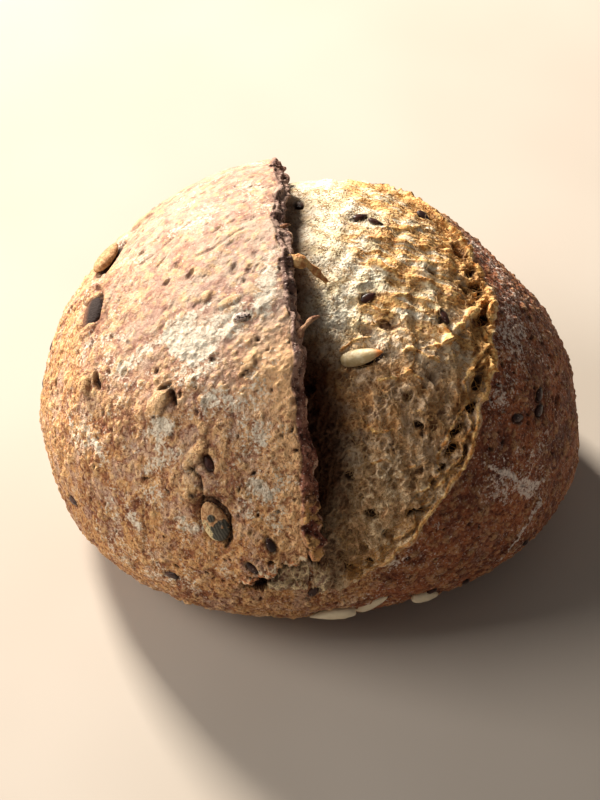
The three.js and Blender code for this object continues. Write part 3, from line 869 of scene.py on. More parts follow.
def material_masks(s):
    """What the bread's material reads at each point, from 0 to 1."""
    turn, way, smooth = s.turn, s.way, s.places
    # painted shade in the groove beside the ear: full for a few millimetres from the ear, widest in the
    # deep part of the slash, weaker at the back
    upward = ease((way - 72) / 14)
    deep = ease((70 - way) / 14) * ease((way - 30) / 8)
    shade_start = 2 + 7 * deep + 3.5 * upward + 2 * s.ragged
    shade = 1 - ease((s.across - shade_start) / (14 - 4 * upward))
    shade = shade * (1 - 0.1 * upward - 0.6 * ease((way - 108) / 10))
    return {
        "crumb": s.crumb,
        "lip": s.lip,
        # painted shade: darkening in hollows, cracks, pits, creases and round seeds
        "dark": np.clip(s.dark, 0, 1),
        "tan": np.clip(s.tan, 0, 1),
        "toast": np.clip(s.toast, 0, 1),
        "pore": np.clip(s.pore, 0, 1),
        "golden": np.clip(s.golden, 0, 1) * np.clip(s.crumb + s.lip + s.golden, 0, 1),
        "flour": np.clip(s.flour * s.crust, 0, 1),
        "right_side": ease((turn - 124) / 8),
        "crown": ease((smooth[..., 2] - 62) / 40 + 0.3 * noise(smooth, 30, 67)) * (turn < 92),
        "low": ease((52 - smooth[..., 2]) / 50 + 0.2 * noise(smooth, 24, 68)),
        "groove": s.slashed * shade * (1 - s.strip),
        # painted light on the flap beside the ear, low on the loaf, where it turns towards the key lamp
        "painted_light_by_ear": bell(turn - ear_turn(way), 9) * (1 - ease((way - 58) / 14)) * ease((way - 26) / 6),
        "strip": s.strip,
        # painted shade: the middle of the crumb's front, in the flap's shade
        "front": ease((74 - way) / 14) * ease((way - 38) / 14),
        "fore": ease((52 - way) / 14),
    }


def loaf_surface():
    """The loaf's surface, its final points and normals, and the masks that its material reads."""
    s = Skin()
    for step in (mark_borders, add_textures, shape_ear, shape_front_tear, shape_rim):
        step(s)
    for step in (add_marks, bed_seeds, spread_flour):
        step(s)
    above = ease((s.places[..., 2] - 0.5) / 6)
    points = s.places + s.normals * (s.rise * above)[..., None]
    points[..., 2] = np.maximum(points[..., 2], 0)
    return s, points, grid_normals(points), material_masks(s)


def all_linseeds():
    """turn, way and spin of every linseed: those in front, then others spread by a rule."""
    seeds = list(LINSEEDS)
    draw = numbers(LINSEED_SERIES)
    while len(seeds) < LINSEED_COUNT:
        turn, way, spin = next(draw) * 180, 24 + next(draw) * 126, next(draw) * 180
        from_ear = turn - ear_turn(way)
        clear = all(np.hypot(seed[0] - turn, seed[1] - way) > LINSEED_GAP for seed in seeds)
        behind = way > SHOWN_WAY or not SHOWN_TURNS[0] <= turn <= SHOWN_TURNS[1]
        if clear and behind and not -5 <= from_ear <= 18:
            seeds.append((turn, way, spin))
    return seeds


# ---------------------------------------------------------------- pieces

def make_piece(name, points, faces, material, sizes=None):
    """A mesh piece from points in millimetres. faces is one array of corner numbers, or a flat
    list of corners with the size of each face."""
    faces = np.asarray(faces)
    if sizes is None:
        sizes = np.full(len(faces), faces.shape[1])
    mesh = bpy.data.meshes.new(name)
    mesh.vertices.add(len(points))
    mesh.vertices.foreach_set("co", ((points - MIDDLE) * MM).ravel())
    mesh.loops.add(faces.size)
    mesh.loops.foreach_set("vertex_index", faces.ravel().astype(np.int32))
    mesh.polygons.add(len(sizes))
    mesh.polygons.foreach_set("loop_start", (np.cumsum(sizes) - sizes).astype(np.int32))
    mesh.polygons.foreach_set("use_smooth", np.ones(len(sizes), bool))
    mesh.update(calc_edges=True)
    mesh.materials.append(material)
    piece = bpy.data.objects.new(name, mesh)
    bpy.context.collection.objects.link(piece)
    return piece


def add_mask(piece, name, values):
    layer = piece.data.attributes.new(name, "FLOAT", "POINT")
    layer.data.foreach_set("value", np.asarray(values, np.float32))


# Margins of a piece's flat map at its sides and at its ends, and the fans' tips in it.
MAP_SIDE = 0.01
MAP_END = 0.02
MAP_TIP = 0.005


def grid_piece(name, points, normals, masks, columns, material):
    """One piece of the surface: the given columns of every ring, with a fan at each pole."""
    points = points[:, columns]
    rows, count = points.shape[:2]
    front = points[0].mean(0)
    back = points[-1].mean(0)
    flat = np.concatenate([points.reshape(-1, 3), front[None], back[None]])
    number = np.arange(rows * count).reshape(rows, count)
    quads = np.stack([number[:-1, :-1], number[:-1, 1:], number[1:, 1:], number[1:, :-1]], -1)
    quads = quads.reshape(-1, 4)
    poles = rows * count
    near_fan = np.stack([np.full(count - 1, poles), number[0, 1:], number[0, :-1]], -1)
    far_fan = np.stack([np.full(count - 1, poles + 1), number[-1, :-1], number[-1, 1:]], -1)
    corners = np.concatenate([quads.ravel(), near_fan.ravel(), far_fan.ravel()])
    sizes = np.concatenate([np.full(len(quads), 4), np.full(2 * (count - 1), 3)])
    piece = make_piece(name, flat, corners, material, sizes)
    for mask, values in masks.items():
        values = values[:, columns]
        add_mask(piece, mask, [*values.ravel(), values[0].mean(), values[-1].mean()])
    ends = unit(np.array([front, back]) - (0, 0, WAIST_HEIGHT))
    all_normals = np.concatenate([normals[:, columns].reshape(-1, 3), ends])
    piece.data.normals_split_custom_set_from_vertices(all_normals.tolist())

    # a flat map of the grid, its rows and columns spaced as on the loaf
    down = np.cumsum([0, *np.linalg.norm(np.diff(points, axis=0), axis=-1).mean(1)])
    along = np.cumsum([0, *np.linalg.norm(np.diff(points, axis=1), axis=-1).mean(0)])
    u = MAP_SIDE + (1 - 2 * MAP_SIDE) * along / along[-1]
    v = MAP_END + (1 - 2 * MAP_END) * down / down[-1]
    u, v = np.meshgrid(u, v)
    flat_map = np.stack([u, v], -1).reshape(-1, 2)
    middle = 0.5 * (u[0, 1:] + u[0, :-1])
    corner_map = np.concatenate([flat_map, [(0, 0)], [(0, 0)]])[corners]
    first_fan = len(quads) * 4
    fan_tips = first_fan + 3 * np.arange(2 * (count - 1))
    corner_map[fan_tips, 0] = np.tile(middle, 2)
    corner_map[fan_tips, 1] = np.repeat([MAP_TIP, 1 - MAP_TIP], count - 1)
    layer = piece.data.uv_layers.new(name="OFBake")
    layer.uv.foreach_set("vector", corner_map.astype(np.float32).ravel())
    return piece


# Seed forms: how much narrower the tip is, how sharp the tip, and how flat the faces are.
SEED_FORMS = {
    "pumpkin": (0.2, 0.62, 0.7),
    "sunflower": (0.42, 0.75, 0.95),
    "linseed": (0.3, 0.6, 0.8),
}
SEED_RINGS = 22
SEED_SIDES = 20


def seed_shape(kind, number):
    """A seed along its second axis, its pointed tip forward, and how far along each point is."""
    length, width, thickness = SEED_SIZES[kind]
    narrow, sharp, flatness = SEED_FORMS[kind]
    t = -np.cos(np.linspace(0.12, np.pi - 0.12, SEED_RINGS))[:, None]
    a = np.linspace(0, 2 * np.pi, SEED_SIDES, endpoint=False)[None, :]
    body = np.where(t > 0, (1 - t**2) ** sharp, np.sqrt(1 - t**2)) * (1 - narrow * t)
    across = 0.5 * width * body * np.cos(a)
    up = 0.5 * thickness * body**0.8 * np.sign(np.sin(a)) * np.abs(np.sin(a)) ** flatness
    points = np.stack([across, 0.5 * length * t + 0 * a, up], -1)
    tips = np.array([(0, -0.5 * length, 0), (0, 0.5 * length, 0)])
    points = np.concatenate([points.reshape(-1, 3), tips])
    points[:, 2] += 0.05 * length * (points[:, 1] / length) ** 2
    dents = fractal(points + 40 * number, 0.35 * width, 71, 2)
    points *= (1 + 0.05 * dents)[:, None]
    ring = np.arange(SEED_RINGS * SEED_SIDES).reshape(SEED_RINGS, SEED_SIDES)
    nxt = np.roll(ring, -1, 1)
    quads = np.stack([ring[:-1], nxt[:-1], nxt[1:], ring[1:]], -1).reshape(-1, 4)
    ends = SEED_RINGS * SEED_SIDES
    fans = [(ends, nxt[0, i], ring[0, i]) for i in range(SEED_SIDES)]
    fans += [(ends + 1, ring[-1, i], nxt[-1, i]) for i in range(SEED_SIDES)]
    forward = np.concatenate([np.repeat(t[:, 0], SEED_SIDES), [-1, 1]])
    return points, quads, np.array(fans), forward


def seed_piece(name, kind, seeds, material):
    """All seeds of one kind as one mesh. seeds: turn, way, sunk and spin of each."""
    points, corners, sizes, forward, sideways, own = [], [], [], [], [], []
    start = 0
    for number, (turn, way, sunk, spin) in enumerate(seeds):
        middle, axes = spot(turn, way, spin)
        shape, quads, fans, along = seed_shape(kind, number)
        tilt = np.radians(4 * np.sin(5.3 * number))
        c, q = np.cos(tilt), np.sin(tilt)
        local = shape @ np.array([[c, 0, q], [0, 1, 0], [-q, 0, c]])
        points.append(middle - sunk * axes[2] + local @ axes)
        corners += [(quads + start).ravel(), (fans + start).ravel()]
        sizes += [np.full(len(quads), 4), np.full(len(fans), 3)]
        forward.append(along)
        sideways.append(shape[:, 0] / SEED_SIZES[kind][1] * 2)
        own.append(np.full(len(shape), number / max(1, len(seeds) - 1)))
        start += len(shape)
    points, corners, sizes = (np.concatenate(part) for part in (points, corners, sizes))
    piece = make_piece(name, points, corners, material, sizes)
    for mask, values in (("forward", forward), ("sideways", sideways), ("own", own)):
        add_mask(piece, mask, np.concatenate(values))
    return piece


# Torn threads and flakes: how many threads, the points along and around each, and the threads'
# series of numbers.
THREAD_COUNT = 2400
THREAD_STEPS = 8
THREAD_SIDES = 4
THREAD_SERIES = 19
FLAKE_STEPS = 18
FLAKE_SIDES = 8
# The threads lie between these ways, where rings of the surface are this many millimetres apart.
THREADS_START = 24
THREADS_END = 118
RING_GAP = 0.38


def tubes(lines, radii, sides, aside, flat=1.0):
    """Points, their numbers and the side faces of tubes, flat or round, along lines of points."""
    ahead = unit(np.gradient(lines, axis=1))
    side = unit(np.cross(ahead, aside))
    top = flat * np.cross(side, ahead)
    a = np.linspace(0, 2 * np.pi, sides, endpoint=False)[:, None]
    ring = np.cos(a) * side[:, :, None] + np.sin(a) * top[:, :, None]
    points = lines[:, :, None] + radii[:, :, None, None] * ring
    number = np.arange(points.size // 3).reshape(points.shape[:3])
    nxt = np.roll(number, -1, 2)
    quads = np.stack([number[:, :-1], nxt[:, :-1], nxt[:, 1:], number[:, 1:]], -1)
    return points.reshape(-1, 3), number, quads.reshape(-1, 4)


def fibre_piece(s, points, normals, masks, material):
    """Fine torn threads of crumb, each bridging the pores under it."""
    draw = numbers(THREAD_SERIES)
    t = np.linspace(0, 1, THREAD_STEPS)
    lines, radii, tones = [], [], []
    while len(lines) < THREAD_COUNT:
        row = int(next(draw) * len(WAYS))
        column = GROOVE + int(next(draw) * CRUMB_COLUMNS)
        angle, reach, thick = next(draw) * 2 * np.pi, 1.2 + 3.6 * next(draw) ** 2, next(draw)
        at = row, column
        way, width, gap = WAYS[row], s.width[at], s.rim_gap[at]
        if not THREADS_START < way < THREADS_END or width < 8:
            continue
        if masks["crumb"][at] < 0.9 or masks["groove"][at] > 0.45:
            continue
        if next(draw) > 0.35 + 0.65 * float(ease((72 - way) / 20)) + 0.6 * float(ease((9 - gap) / 4)):
            continue
        row_step = np.sin(angle) * reach / RING_GAP
        column_step = np.cos(angle) * reach / (width / CRUMB_COLUMNS)
        rows = np.clip(row + row_step * (t - 0.5), 0, len(WAYS) - 1).astype(int)
        columns = np.clip(column + column_step * (t - 0.5), GROOVE, RIM - 1).astype(int)
        line = points[rows, columns]
        straight = line[0] + t[:, None] * (line[-1] - line[0])
        high = 0.25 + 0.35 * np.sin(np.pi * t)
        wave = 0.25 * np.sin(7 * t + 9 * thick)
        up = unit(normals[rows, columns].mean(0))
        side = unit(np.cross(up, line[-1] - line[0] + 1e-6))
        line = 0.55 * straight + 0.45 * line + high[:, None] * up + wave[:, None] * side
        line[[0, -1]] -= 0.5 * up
        lines.append(line)
        radii.append((0.05 + 0.09 * thick**2) * (1 - 0.5 * np.abs(2 * t - 1) ** 2))
        tones.append(np.clip(0.25 + 0.75 * float(ease((9 - gap) / 5)) + 0.4 * (thick - 0.5), 0, 1))
    aside = (0.31, 0.22, 0.92)
    tube, number, quads = tubes(np.array(lines), np.array(radii), THREAD_SIDES, aside)
    caps = np.concatenate([number[:, 0, ::-1], number[:, -1]])
    piece = make_piece("crumb_threads", tube, np.concatenate([quads, caps]), material)
    add_mask(piece, "golden", np.repeat(tones, THREAD_STEPS * THREAD_SIDES))
    return piece


def flake_piece(material):
    """Torn strips that stand free of the ear, bent upward and drawn to a point."""
    t = np.linspace(0, 1, FLAKE_STEPS)[:, None]
    lines, radii = [], []
    for half, way, offset, _ in FLAKES:
        start = place(ear_turn(way) - 0.2, way) + (2.6, 0, -1.6)
        bend = np.sin(np.pi * t) * 0.12 * np.linalg.norm(offset)
        line = start + t * np.array(offset) + bend * np.array([0.2, 0.3, 1.0])
        line += 0.3 * np.stack([noise(line, 2.5, 90 + axis) for axis in range(3)], -1)
        lines.append(line)
        radii.append(half * (1 - 0.75 * t[:, 0] ** 1.5) * (1 + 0.45 * noise(line, 1.6, 93)))
    aside = (0.1, -0.5, 0.86)
    tube, number, quads = tubes(np.array(lines), np.array(radii), FLAKE_SIDES, aside, 0.4)
    caps = []
    for end in np.concatenate([number[:, 0, ::-1], number[:, -1]]):
        caps += [(end[0], end[i], end[i + 1], end[i + 2]) for i in (1, 3, 5)]
    piece = make_piece("torn_flakes", tube, np.concatenate([quads, caps]), material)
    add_mask(piece, "golden", np.repeat([flake[3] for flake in FLAKES], FLAKE_STEPS * FLAKE_SIDES))
    return piece


# ---------------------------------------------------------------- materials

class Nodes:
    """Short names for building one material's nodes."""

    def __init__(self, name):
        self.material = bpy.data.materials.new(name)
        self.material.use_nodes = True
        self.tree = self.material.node_tree
        self.tree.nodes.clear()
        self.shader = self.tree.nodes.new("ShaderNodeBsdfPrincipled")
        output = self.tree.nodes.new("ShaderNodeOutputMaterial")
        self.tree.links.new(self.shader.outputs[0], output.inputs[0])
        self.places = self.tree.nodes.new("ShaderNodeTexCoord").outputs["Object"]

    def put(self, socket, value):
        """Gives a socket a number, a colour, another socket or a mask by its name."""
        if isinstance(value, str):
            value = self.mask(value)
        if isinstance(value, bpy.types.NodeSocket):
            self.tree.links.new(value, socket)
        elif isinstance(value, tuple) and len(value) == 3:
            socket.default_value = (*value, 1)
        else:
            socket.default_value = value

    def mask(self, name):
        node = self.tree.nodes.new("ShaderNodeAttribute")
        node.attribute_name = name
        return node.outputs["Fac"]

    def maths(self, kind, a, b=0.0):
        node = self.tree.nodes.new("ShaderNodeMath")
        node.operation = kind
        self.put(node.inputs[0], a)
        self.put(node.inputs[1], b)
        return node.outputs[0]

    def times(self, a, b):
        return self.maths("MULTIPLY", a, b)

    def plus(self, a, b):
        return self.maths("ADD", a, b)

    def span(self, value, low, high, to_low=0.0, to_high=1.0):
        node = self.tree.nodes.new("ShaderNodeMapRange")
        node.interpolation_type = "SMOOTHSTEP"
        names = ("Value", "From Min", "From Max", "To Min", "To Max")
        for name, number in zip(names, (value, low, high, to_low, to_high)):
            self.put(node.inputs[name], number)
        return node.outputs[0]

    def near(self, value, middle, start, full):
        """1 where a value is close to middle, 0 where it is further off than start."""
        return self.span(self.maths("ABSOLUTE", self.plus(value, -middle)), start, full)

    def mix(self, factor, a, b, kind="MIX"):
        node = self.tree.nodes.new("ShaderNodeMix")
        node.data_type = "RGBA"
        node.blend_type = kind
        self.put(node.inputs["Factor"], factor)
        self.put(node.inputs["A"], a)
        self.put(node.inputs["B"], b)
        return node.outputs["Result"]

    def noise(self, size_mm, detail, rough=0.55, bend=0.0):
        node = self.tree.nodes.new("ShaderNodeTexNoise")
        self.put(node.inputs["Vector"], self.places)
        node.inputs["Scale"].default_value = 1 / (size_mm * MM)
        node.inputs["Detail"].default_value = detail
        node.inputs["Roughness"].default_value = rough
        node.inputs["Distortion"].default_value = bend
        return node.outputs["Fac"]

    def spots(self, size_mm):
        node = self.tree.nodes.new("ShaderNodeTexVoronoi")
        self.put(node.inputs["Vector"], self.places)
        node.inputs["Scale"].default_value = 1 / (size_mm * MM)
        return node.outputs["Distance"]

    def bump(self, height, depth_mm, strength, under=None):
        node = self.tree.nodes.new("ShaderNodeBump")
        node.inputs["Strength"].default_value = strength
        node.inputs["Distance"].default_value = depth_mm * MM
        self.put(node.inputs["Height"], height)
        if under is not None:
            self.put(node.inputs["Normal"], under)
        return node.outputs["Normal"]

    def finish(self, colour, roughness, specular=0.5, normal=None):
        """Gives the shader its inputs and returns the material."""
        self.put(self.shader.inputs["Base Color"], colour)
        self.put(self.shader.inputs["Roughness"], roughness)
        self.shader.inputs["Specular IOR Level"].default_value = specular
        if normal is not None:
            self.put(self.shader.inputs["Normal"], normal)
        return self.material


def crust_colour(n, grit, fine, middle):
    """Left crust tan to orange brown under a thin pale film; right crust deep red brown."""
    calm = n.span("crown", 0, 1, 1, 0.35)
    blotch = n.noise(3.4, 4, 0.65, 0.6)
    tone = n.plus(n.times(n.noise(17, 3), 0.3), n.plus(n.times(middle, 0.35), n.times(blotch, 0.35)))
    left = n.mix(n.span(tone, 0.44, 0.54), (0.3, 0.11, 0.045), (0.62, 0.31, 0.12))
    left = n.mix(n.span(blotch, 0.5, 0.6, 0, 0.6), left, (0.78, 0.47, 0.2))
    left = n.mix(n.span(n.noise(9, 5, 0.65), 0.49, 0.58, 0, 0.6), left, (0.6, 0.4, 0.3))
    # partly painted highlight: the crown paler and rosier, partly a real fine film of flour and partly
    # the paling where the key lamp falls strongest
    rosy = n.mix(n.span(middle, 0.42, 0.58), (0.44, 0.27, 0.225), (0.54, 0.4, 0.31))
    left = n.mix(n.times("crown", n.span(tone, 0.4, 0.56, 0.5, 0.95)), left, rosy)
    # painted shade: the lower left crust darker and redder, as in shade towards the table
    left = n.mix(n.times("low", n.span(tone, 0.4, 0.56, 0.7, 0.2)), left, (0.28, 0.1, 0.04))
    # painted light: the flap beside the ear, low on the loaf, brighter and oranger
    left = n.mix(n.times("painted_light_by_ear", n.span(fine, 0.4, 0.6, 0.75, 1.0)), left, (1.0, 0.6, 0.3))
    right = n.mix(n.span(tone, 0.42, 0.57), (0.15, 0.038, 0.015), (0.38, 0.12, 0.045))
    right = n.mix(n.span(n.noise(8, 4, 0.6), 0.52, 0.66, 0, 0.3), right, (0.42, 0.22, 0.14))
    right = n.mix(n.times("low", n.span(blotch, 0.46, 0.58, 0, 0.5)), right, (0.6, 0.28, 0.12))
    crust = n.mix("right_side", left, right)
    crust = n.mix(n.times("tan", n.span("right_side", 0, 1, 0.75, 0.4)), crust, (0.86, 0.56, 0.27))
    crust = n.mix(n.times(calm, n.span(fine, 0.46, 0.38, 0, 0.75)), crust, (0.4, 0.22, 0.17), "MULTIPLY")
    crust = n.mix(n.times(calm, n.span(grit, 0.45, 0.36, 0, 0.7)), crust, (0.34, 0.2, 0.16), "MULTIPLY")
    pale = n.mix("right_side", (0.82, 0.68, 0.52), (0.6, 0.44, 0.36))
    dots = n.times(n.span(n.spots(0.95), 0.3, 0.16), n.span(n.noise(5, 3, 0.6), 0.46, 0.62))
    crust = n.mix(n.times(dots, n.span("right_side", 0, 1, 0.6, 0.8)), crust, pale)
    crust = n.mix(n.times(calm, n.span(grit, 0.57, 0.68, 0, 0.3)), crust, pale)
    torn_edge = n.mix(n.span(fine, 0.42, 0.58), (0.72, 0.27, 0.1), (1.0, 0.84, 0.58))
    crust = n.mix(n.span("golden", 0.25, 0.75, 0, 0.9), crust, torn_edge)
    # painted shade: near black in the crust's hollows, cracks, creases, pits and seed beds
    return n.mix("dark", crust, (0.035, 0.014, 0.009))


def crumb_colour(n, grit, fine, middle):
    """Cream where fresh, golden on torn ridges; painted shade darkens the pores, the groove by the ear
    and, warmer, the middle of the front.
    """
    pale = n.mix(n.span(middle, 0.38, 0.6), (0.87, 0.74, 0.48), (0.95, 0.88, 0.71))
    # painted shade: the crumb in the flap's shade, towards the front, warmer and darker
    pale = n.mix(n.times("front", n.span(middle, 0.4, 0.56, 1.0, 0.6)), pale, (0.72, 0.4, 0.17))
    pale = n.mix("fore", pale, n.mix(n.span(middle, 0.42, 0.56), (0.8, 0.52, 0.28), (0.98, 0.76, 0.48)))
    specks = n.mix(n.span(fine, 0.4, 0.56), (0.46, 0.3, 0.22), (1.0, 0.82, 0.52))
    pale = n.mix("strip", pale, specks)
    inside = n.mix(n.span(fine, 0.47, 0.38, 0, 0.5), pale, (0.55, 0.36, 0.2), "MULTIPLY")
    browned = n.mix(n.span(grit, 0.42, 0.58), (0.6, 0.27, 0.06), (0.88, 0.54, 0.19))
    inside = n.mix(n.span("toast", 0.15, 0.85, 0, 0.9), inside, browned)
    # painted shade in the pores and gaps, lighter at the front
    hollow = n.times(n.span("pore", 0.1, 0.95, 0, 0.9), n.span("fore", 0, 1, 1, 0.6))
    inside = n.mix(hollow, inside, (0.17, 0.07, 0.028))
    thread = n.mix(n.span(fine, 0.4, 0.6), (0.6, 0.24, 0.05), (0.96, 0.64, 0.25))
    thread = n.mix(n.times("low", 0.7), thread, (0.85, 0.58, 0.34))
    inside = n.mix(n.span("golden", 0.25, 0.8, 0, 0.92), inside, thread)
    inside = n.mix(n.span(grit, 0.45, 0.37, 0, 0.55), inside, (0.4, 0.26, 0.19), "MULTIPLY")
    # painted shade in the groove under the ear
    inside = n.mix("groove", inside, (0.17, 0.1, 0.07), "MULTIPLY")
    # painted shade: near black in the crumb's pits, cracks and rim gaps
    return n.mix("dark", inside, (0.03, 0.012, 0.007))


def face_colour(n, fine, middle):
    """The ear's rolled edge: mauve brown above, dark red brown below, orange at the corner."""
    face = n.mix(n.span(middle, 0.4, 0.6), (0.17, 0.045, 0.027), (0.46, 0.18, 0.11))
    upper = n.mix(n.span(middle, 0.42, 0.58), (0.17, 0.095, 0.075), (0.44, 0.3, 0.24))
    face = n.mix(n.times("crown", 0.95), face, upper)
    face = n.mix(n.span("toast", 0.2, 0.8), face, (0.72, 0.4, 0.15))
    face = n.mix(n.span("golden", 0.2, 0.7), face, (0.8, 0.5, 0.34))
    face = n.mix(n.span(fine, 0.47, 0.38, 0, 0.9), face, (0.24, 0.13, 0.1), "MULTIPLY")
    face = n.mix(n.span(n.spots(0.95), 0.28, 0.16, 0, 0.6), face, (0.8, 0.62, 0.52))
    # painted shade: near black in the holes of the rolled edge and between the corner's crags
    return n.mix("dark", face, (0.02, 0.008, 0.006))


def bread_material():
    n = Nodes("bread")
    middle = n.noise(5.5, 4, 0.6, 0.3)
    fine = n.noise(2.0, 3, 0.62, 0.4)
    grit = n.noise(0.95, 2, 0.55, 0.5)
    crust = crust_colour(n, grit, fine, middle)
    film = n.span(n.noise(13, 4, 0.6), 0.48, 0.64, 0, n.span("right_side", 0, 1, 0.68, 0.4))
    dust = n.plus("flour", n.plus(film, n.times("crown", 0.1)))
    uneven = n.plus(n.times(grit, 1.7), n.times(fine, 1.7))
    uneven = n.plus(uneven, n.span(n.spots(0.8), 0.1, 0.6, 0.25, -0.2))
    cover = n.span(n.plus(dust, uneven), 2.04, 2.84, 0, 0.94)
    dusty = n.mix(n.span(grit, 0.4, 0.6), (0.62, 0.52, 0.4), (0.84, 0.76, 0.62))
    crust = n.mix(cover, crust, n.mix("right_side", dusty, (0.88, 0.76, 0.68)))
    colour = n.mix("lip", crust, face_colour(n, fine, middle))
    colour = n.mix("crumb", colour, crumb_colour(n, grit, fine, middle))
    calm = n.span("crown", 0, 1, 1, 0.4)
    calm = n.times(calm, n.span("crumb", 0, 1, 0.8, n.span("front", 0, 1, 0.25, 0.5)))
    bubbles = n.span(n.spots(0.95), 0.15, 0.55)
    grain = n.bump(n.times(bubbles, "crumb"), 0.22, 0.8)
    grain = n.bump(n.times(grit, calm), 0.9, 0.9, grain)
    grain = n.bump(n.times(fine, calm), 1.5, 0.8, grain)
    return n.finish(colour, n.span(fine, 0.3, 0.7, 0.6, 0.92), 0.3, grain)


def thread_material():
    n = Nodes("threads")
    fine = n.noise(2.0, 3)
    pale = n.mix(n.span(fine, 0.35, 0.65), (0.38, 0.25, 0.12), (0.58, 0.42, 0.24))
    colour = n.mix("golden", pale, (0.62, 0.33, 0.1))
    return n.finish(colour, n.span(fine, 0.3, 0.7, 0.5, 0.75))


def flake_material():
    n = Nodes("flakes")
    fine, grit = n.noise(2.0, 3, 0.6), n.noise(0.9, 2)
    brown = n.mix(n.span(fine, 0.4, 0.6), (0.16, 0.06, 0.035), (0.42, 0.22, 0.13))
    orange = n.mix(n.span(fine, 0.4, 0.6), (0.5, 0.19, 0.05), (0.8, 0.5, 0.2))
    colour = n.mix("golden", brown, orange)
    return n.finish(colour, n.span(fine, 0.3, 0.7, 0.55, 0.85), normal=n.bump(grit, 0.7, 0.8))


def pumpkin_material():
    n = Nodes("pumpkin_seed")
    fine, middle = n.noise(0.9, 4, 0.6), n.noise(3.2, 3, 0.6)
    streak = n.maths("SINE", n.plus(n.times("sideways", 26.0), n.times(middle, 8.0)))
    green = n.mix(n.span(streak, -0.6, 0.8, 0, 0.6), (0.03, 0.028, 0.02), (0.13, 0.12, 0.09))
    left_side = n.plus(n.times("sideways", -0.5), n.times(middle, 1.2))
    green = n.mix(n.span(left_side, 0.72, 0.84, 0, 0.95), green, (0.75, 0.6, 0.32))
    bare = n.plus(n.times("forward", 0.8), n.times(n.plus(middle, -0.5), 2.2))
    ahead, aside = n.plus("forward", -0.25), n.times("sideways", 0.6)
    worn = n.span(n.plus(n.times(ahead, ahead), n.times(aside, aside)), 0.05, 0.02)
    film = n.maths("SUBTRACT", n.span(bare, -0.08, 0.15), worn)
    film = n.maths("MAXIMUM", film, n.span("own", 0.1, 0.3))
    tan = n.mix(n.span(fine, 0.38, 0.62), (0.42, 0.2, 0.085), (0.72, 0.44, 0.22))
    deep = n.mix(n.span("sideways", -0.5, 0.1), (0.17, 0.07, 0.035), (0.02, 0.008, 0.006))
    # the second seed lies half under the crust, brown and deep in shadow
    tan = n.mix(n.near("own", 0.33, 0.2, 0.05), tan, deep)
    grain = n.bump(n.times(film, n.plus(fine, 0.6)), 0.5, 0.8, n.bump(fine, 0.4, 0.7))
    return n.finish(n.mix(film, green, tan), n.span(film, 0, 1, 0.42, 0.8), 0.4, grain)


def sunflower_material():
    n = Nodes("sunflower_kernel")
    fine, middle = n.noise(0.8, 4, 0.6), n.noise(2.6, 3, 0.6)
    cream = n.mix(n.span(middle, 0.35, 0.65), (0.5, 0.36, 0.17), (0.72, 0.6, 0.38))
    cream = n.mix(n.span("own", 0, 0.1, 0, 0.8), cream, (0.92, 0.8, 0.58))
    tip = n.span(n.plus("forward", n.times(n.plus(middle, -0.5), 0.8)), 0.4, 0.85)
    tip = n.times(tip, n.span("own", 0, 0.1, 1, 0))
    colour = n.mix(tip, cream, (0.6, 0.2, 0.04))
    return n.finish(colour, n.span(fine, 0.3, 0.7, 0.4, 0.65), normal=n.bump(fine, 0.25, 0.5))


def linseed_material():
    n = Nodes("linseed")
    fine, middle = n.noise(0.6, 3, 0.6), n.noise(2.4, 2)
    brown = n.mix(n.span(middle, 0.35, 0.65), (0.018, 0.007, 0.006), (0.06, 0.02, 0.014))
    flecks = n.times(n.span(n.spots(0.7), 0.22, 0.12), n.span(n.noise(2.2, 2), 0.48, 0.6))
    # the fifth seed is the one that flour covers
    fifth = n.near("own", 4 / (LINSEED_COUNT - 1), 0.02, 0.01)
    flecks = n.maths("MAXIMUM", flecks, n.times(fifth, n.span(fine, 0.42, 0.5, 0, 0.9)))
    colour = n.mix(flecks, brown, (0.62, 0.5, 0.44))
    return n.finish(colour, n.span(fine, 0.3, 0.7, 0.3, 0.48), 0.3, n.bump(fine, 0.15, 0.5))


# ---------------------------------------------------------------- scene

# Lamps: name, place in metres, size, power and colour. They are aimed at the loaf.
LAMPS = [
    ("key", (-0.7, 1.12, 0.9), 0.3, 56, (1.0, 0.92, 0.8)),
    ("side", (-1.2, -0.05, 0.85), 0.8, 15, (1.0, 0.94, 0.86)),
]
LAMP_AIM = (0, 0, 0.05)
AIR_COLOUR = (1.0, 0.93, 0.86, 1)
AIR_STRENGTH = 0.14
FLOOR_SIZE = 6


def studio():
    """A plain floor, two lamps and soft light from all sides."""
    n = Nodes("floor")
    shade = n.mix(n.span(n.noise(120, 2), 0.3, 0.7), (0.52, 0.46, 0.4), (0.56, 0.5, 0.44))
    bpy.ops.mesh.primitive_plane_add(size=FLOOR_SIZE)
    floor = bpy.context.object
    floor.name = "floor"
    floor.data.materials.append(n.finish(shade, 0.85))

    world = bpy.data.worlds.new("studio")
    world.use_nodes = True
    background = world.node_tree.nodes["Background"]
    background.inputs["Color"].default_value = AIR_COLOUR
    background.inputs["Strength"].default_value = AIR_STRENGTH
    bpy.context.scene.world = world

    for name, stand, size, power, colour in LAMPS:
        data = bpy.data.lights.new(name, "AREA")
        data.size = size
        data.energy = power
        data.color = colour
        light = bpy.data.objects.new(name, data)
        light.location = stand
        aim = Vector(LAMP_AIM) - Vector(stand)
        light.rotation_euler = aim.to_track_quat("-Z", "Y").to_euler()
        bpy.context.collection.objects.link(light)


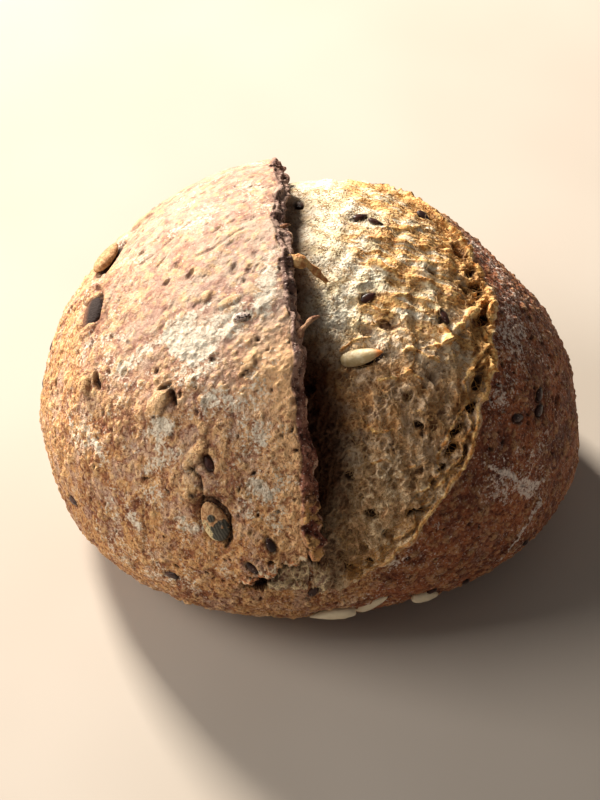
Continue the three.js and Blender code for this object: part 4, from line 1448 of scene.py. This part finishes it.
# The camera: its pitch in degrees, distance and aim in metres, focal length in pixels.
CAMERA_PITCH = 47.0
CAMERA_DISTANCE = 0.787
CAMERA_AIM = (-0.0025 - MIDDLE[0] * MM, -MIDDLE[1] * MM, 0.037)
FOCAL_PIXELS = 2530.0
PICTURE_HEIGHT = 800.0
SENSOR_WIDTH = 36


def camera():
    data = bpy.data.cameras.new("camera")
    data.sensor_width = SENSOR_WIDTH
    data.sensor_fit = "AUTO"
    data.lens = FOCAL_PIXELS / PICTURE_HEIGHT * SENSOR_WIDTH
    pitch = np.radians(CAMERA_PITCH)
    eye = bpy.data.objects.new("camera", data)
    back = Vector((0, -np.cos(pitch), np.sin(pitch)))
    eye.location = Vector(CAMERA_AIM) + CAMERA_DISTANCE * back
    eye.rotation_euler = (np.pi / 2 - pitch, 0, 0)
    bpy.context.collection.objects.link(eye)
    bpy.context.scene.camera = eye


def dress(piece):
    """The piece joins the root body and stands for the loaf's solid, which is hidden."""
    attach(piece, "root")
    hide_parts("loaf")


def main():
    camera()
    studio()
    bread = bread_material()
    s, points, normals, masks = loaf_surface()
    flap = BASE_COLUMNS + LEFT_COLUMNS // 2
    # the last column is the first one again, under the base
    pieces = [
        ("left_crust", np.arange(0, flap), "crust"),
        ("flap_crust", np.arange(flap - 1, EAR), "crust"),
        ("ear_face", np.arange(EAR - 1, GROOVE), "crust"),
        ("torn_crumb", np.arange(GROOVE - 1, RIM), "crumb"),
        ("right_crust", np.concatenate([np.arange(RIM - 1, points.shape[1] - 1), [0]]), "crust"),
    ]
    for name, columns, slot in pieces:
        dress(grid_piece(name, points, normals, masks, columns, bread))
    dress(fibre_piece(s, points, normals, masks, thread_material()))
    dress(flake_piece(flake_material()))

    kinds = [
        ("pumpkin_seeds", "pumpkin", pumpkin_material(), "pumpkin_seed"),
        ("sunflower_kernels", "sunflower", sunflower_material(), "sunflower_seed"),
    ]
    for name, kind, material, slot in kinds:
        seeds = [seed[1:] for seed in BIG_SEEDS if seed[0] == kind]
        dress(seed_piece(name, kind, seeds, material))
    seeds = [(turn, way, LINSEED_SUNK, spin) for turn, way, spin in all_linseeds()]
    dress(seed_piece("linseeds", "linseed", seeds, linseed_material()))

    scene = bpy.context.scene
    scene.view_settings.view_transform = "Standard"
    scene.view_settings.look = "None"


main()
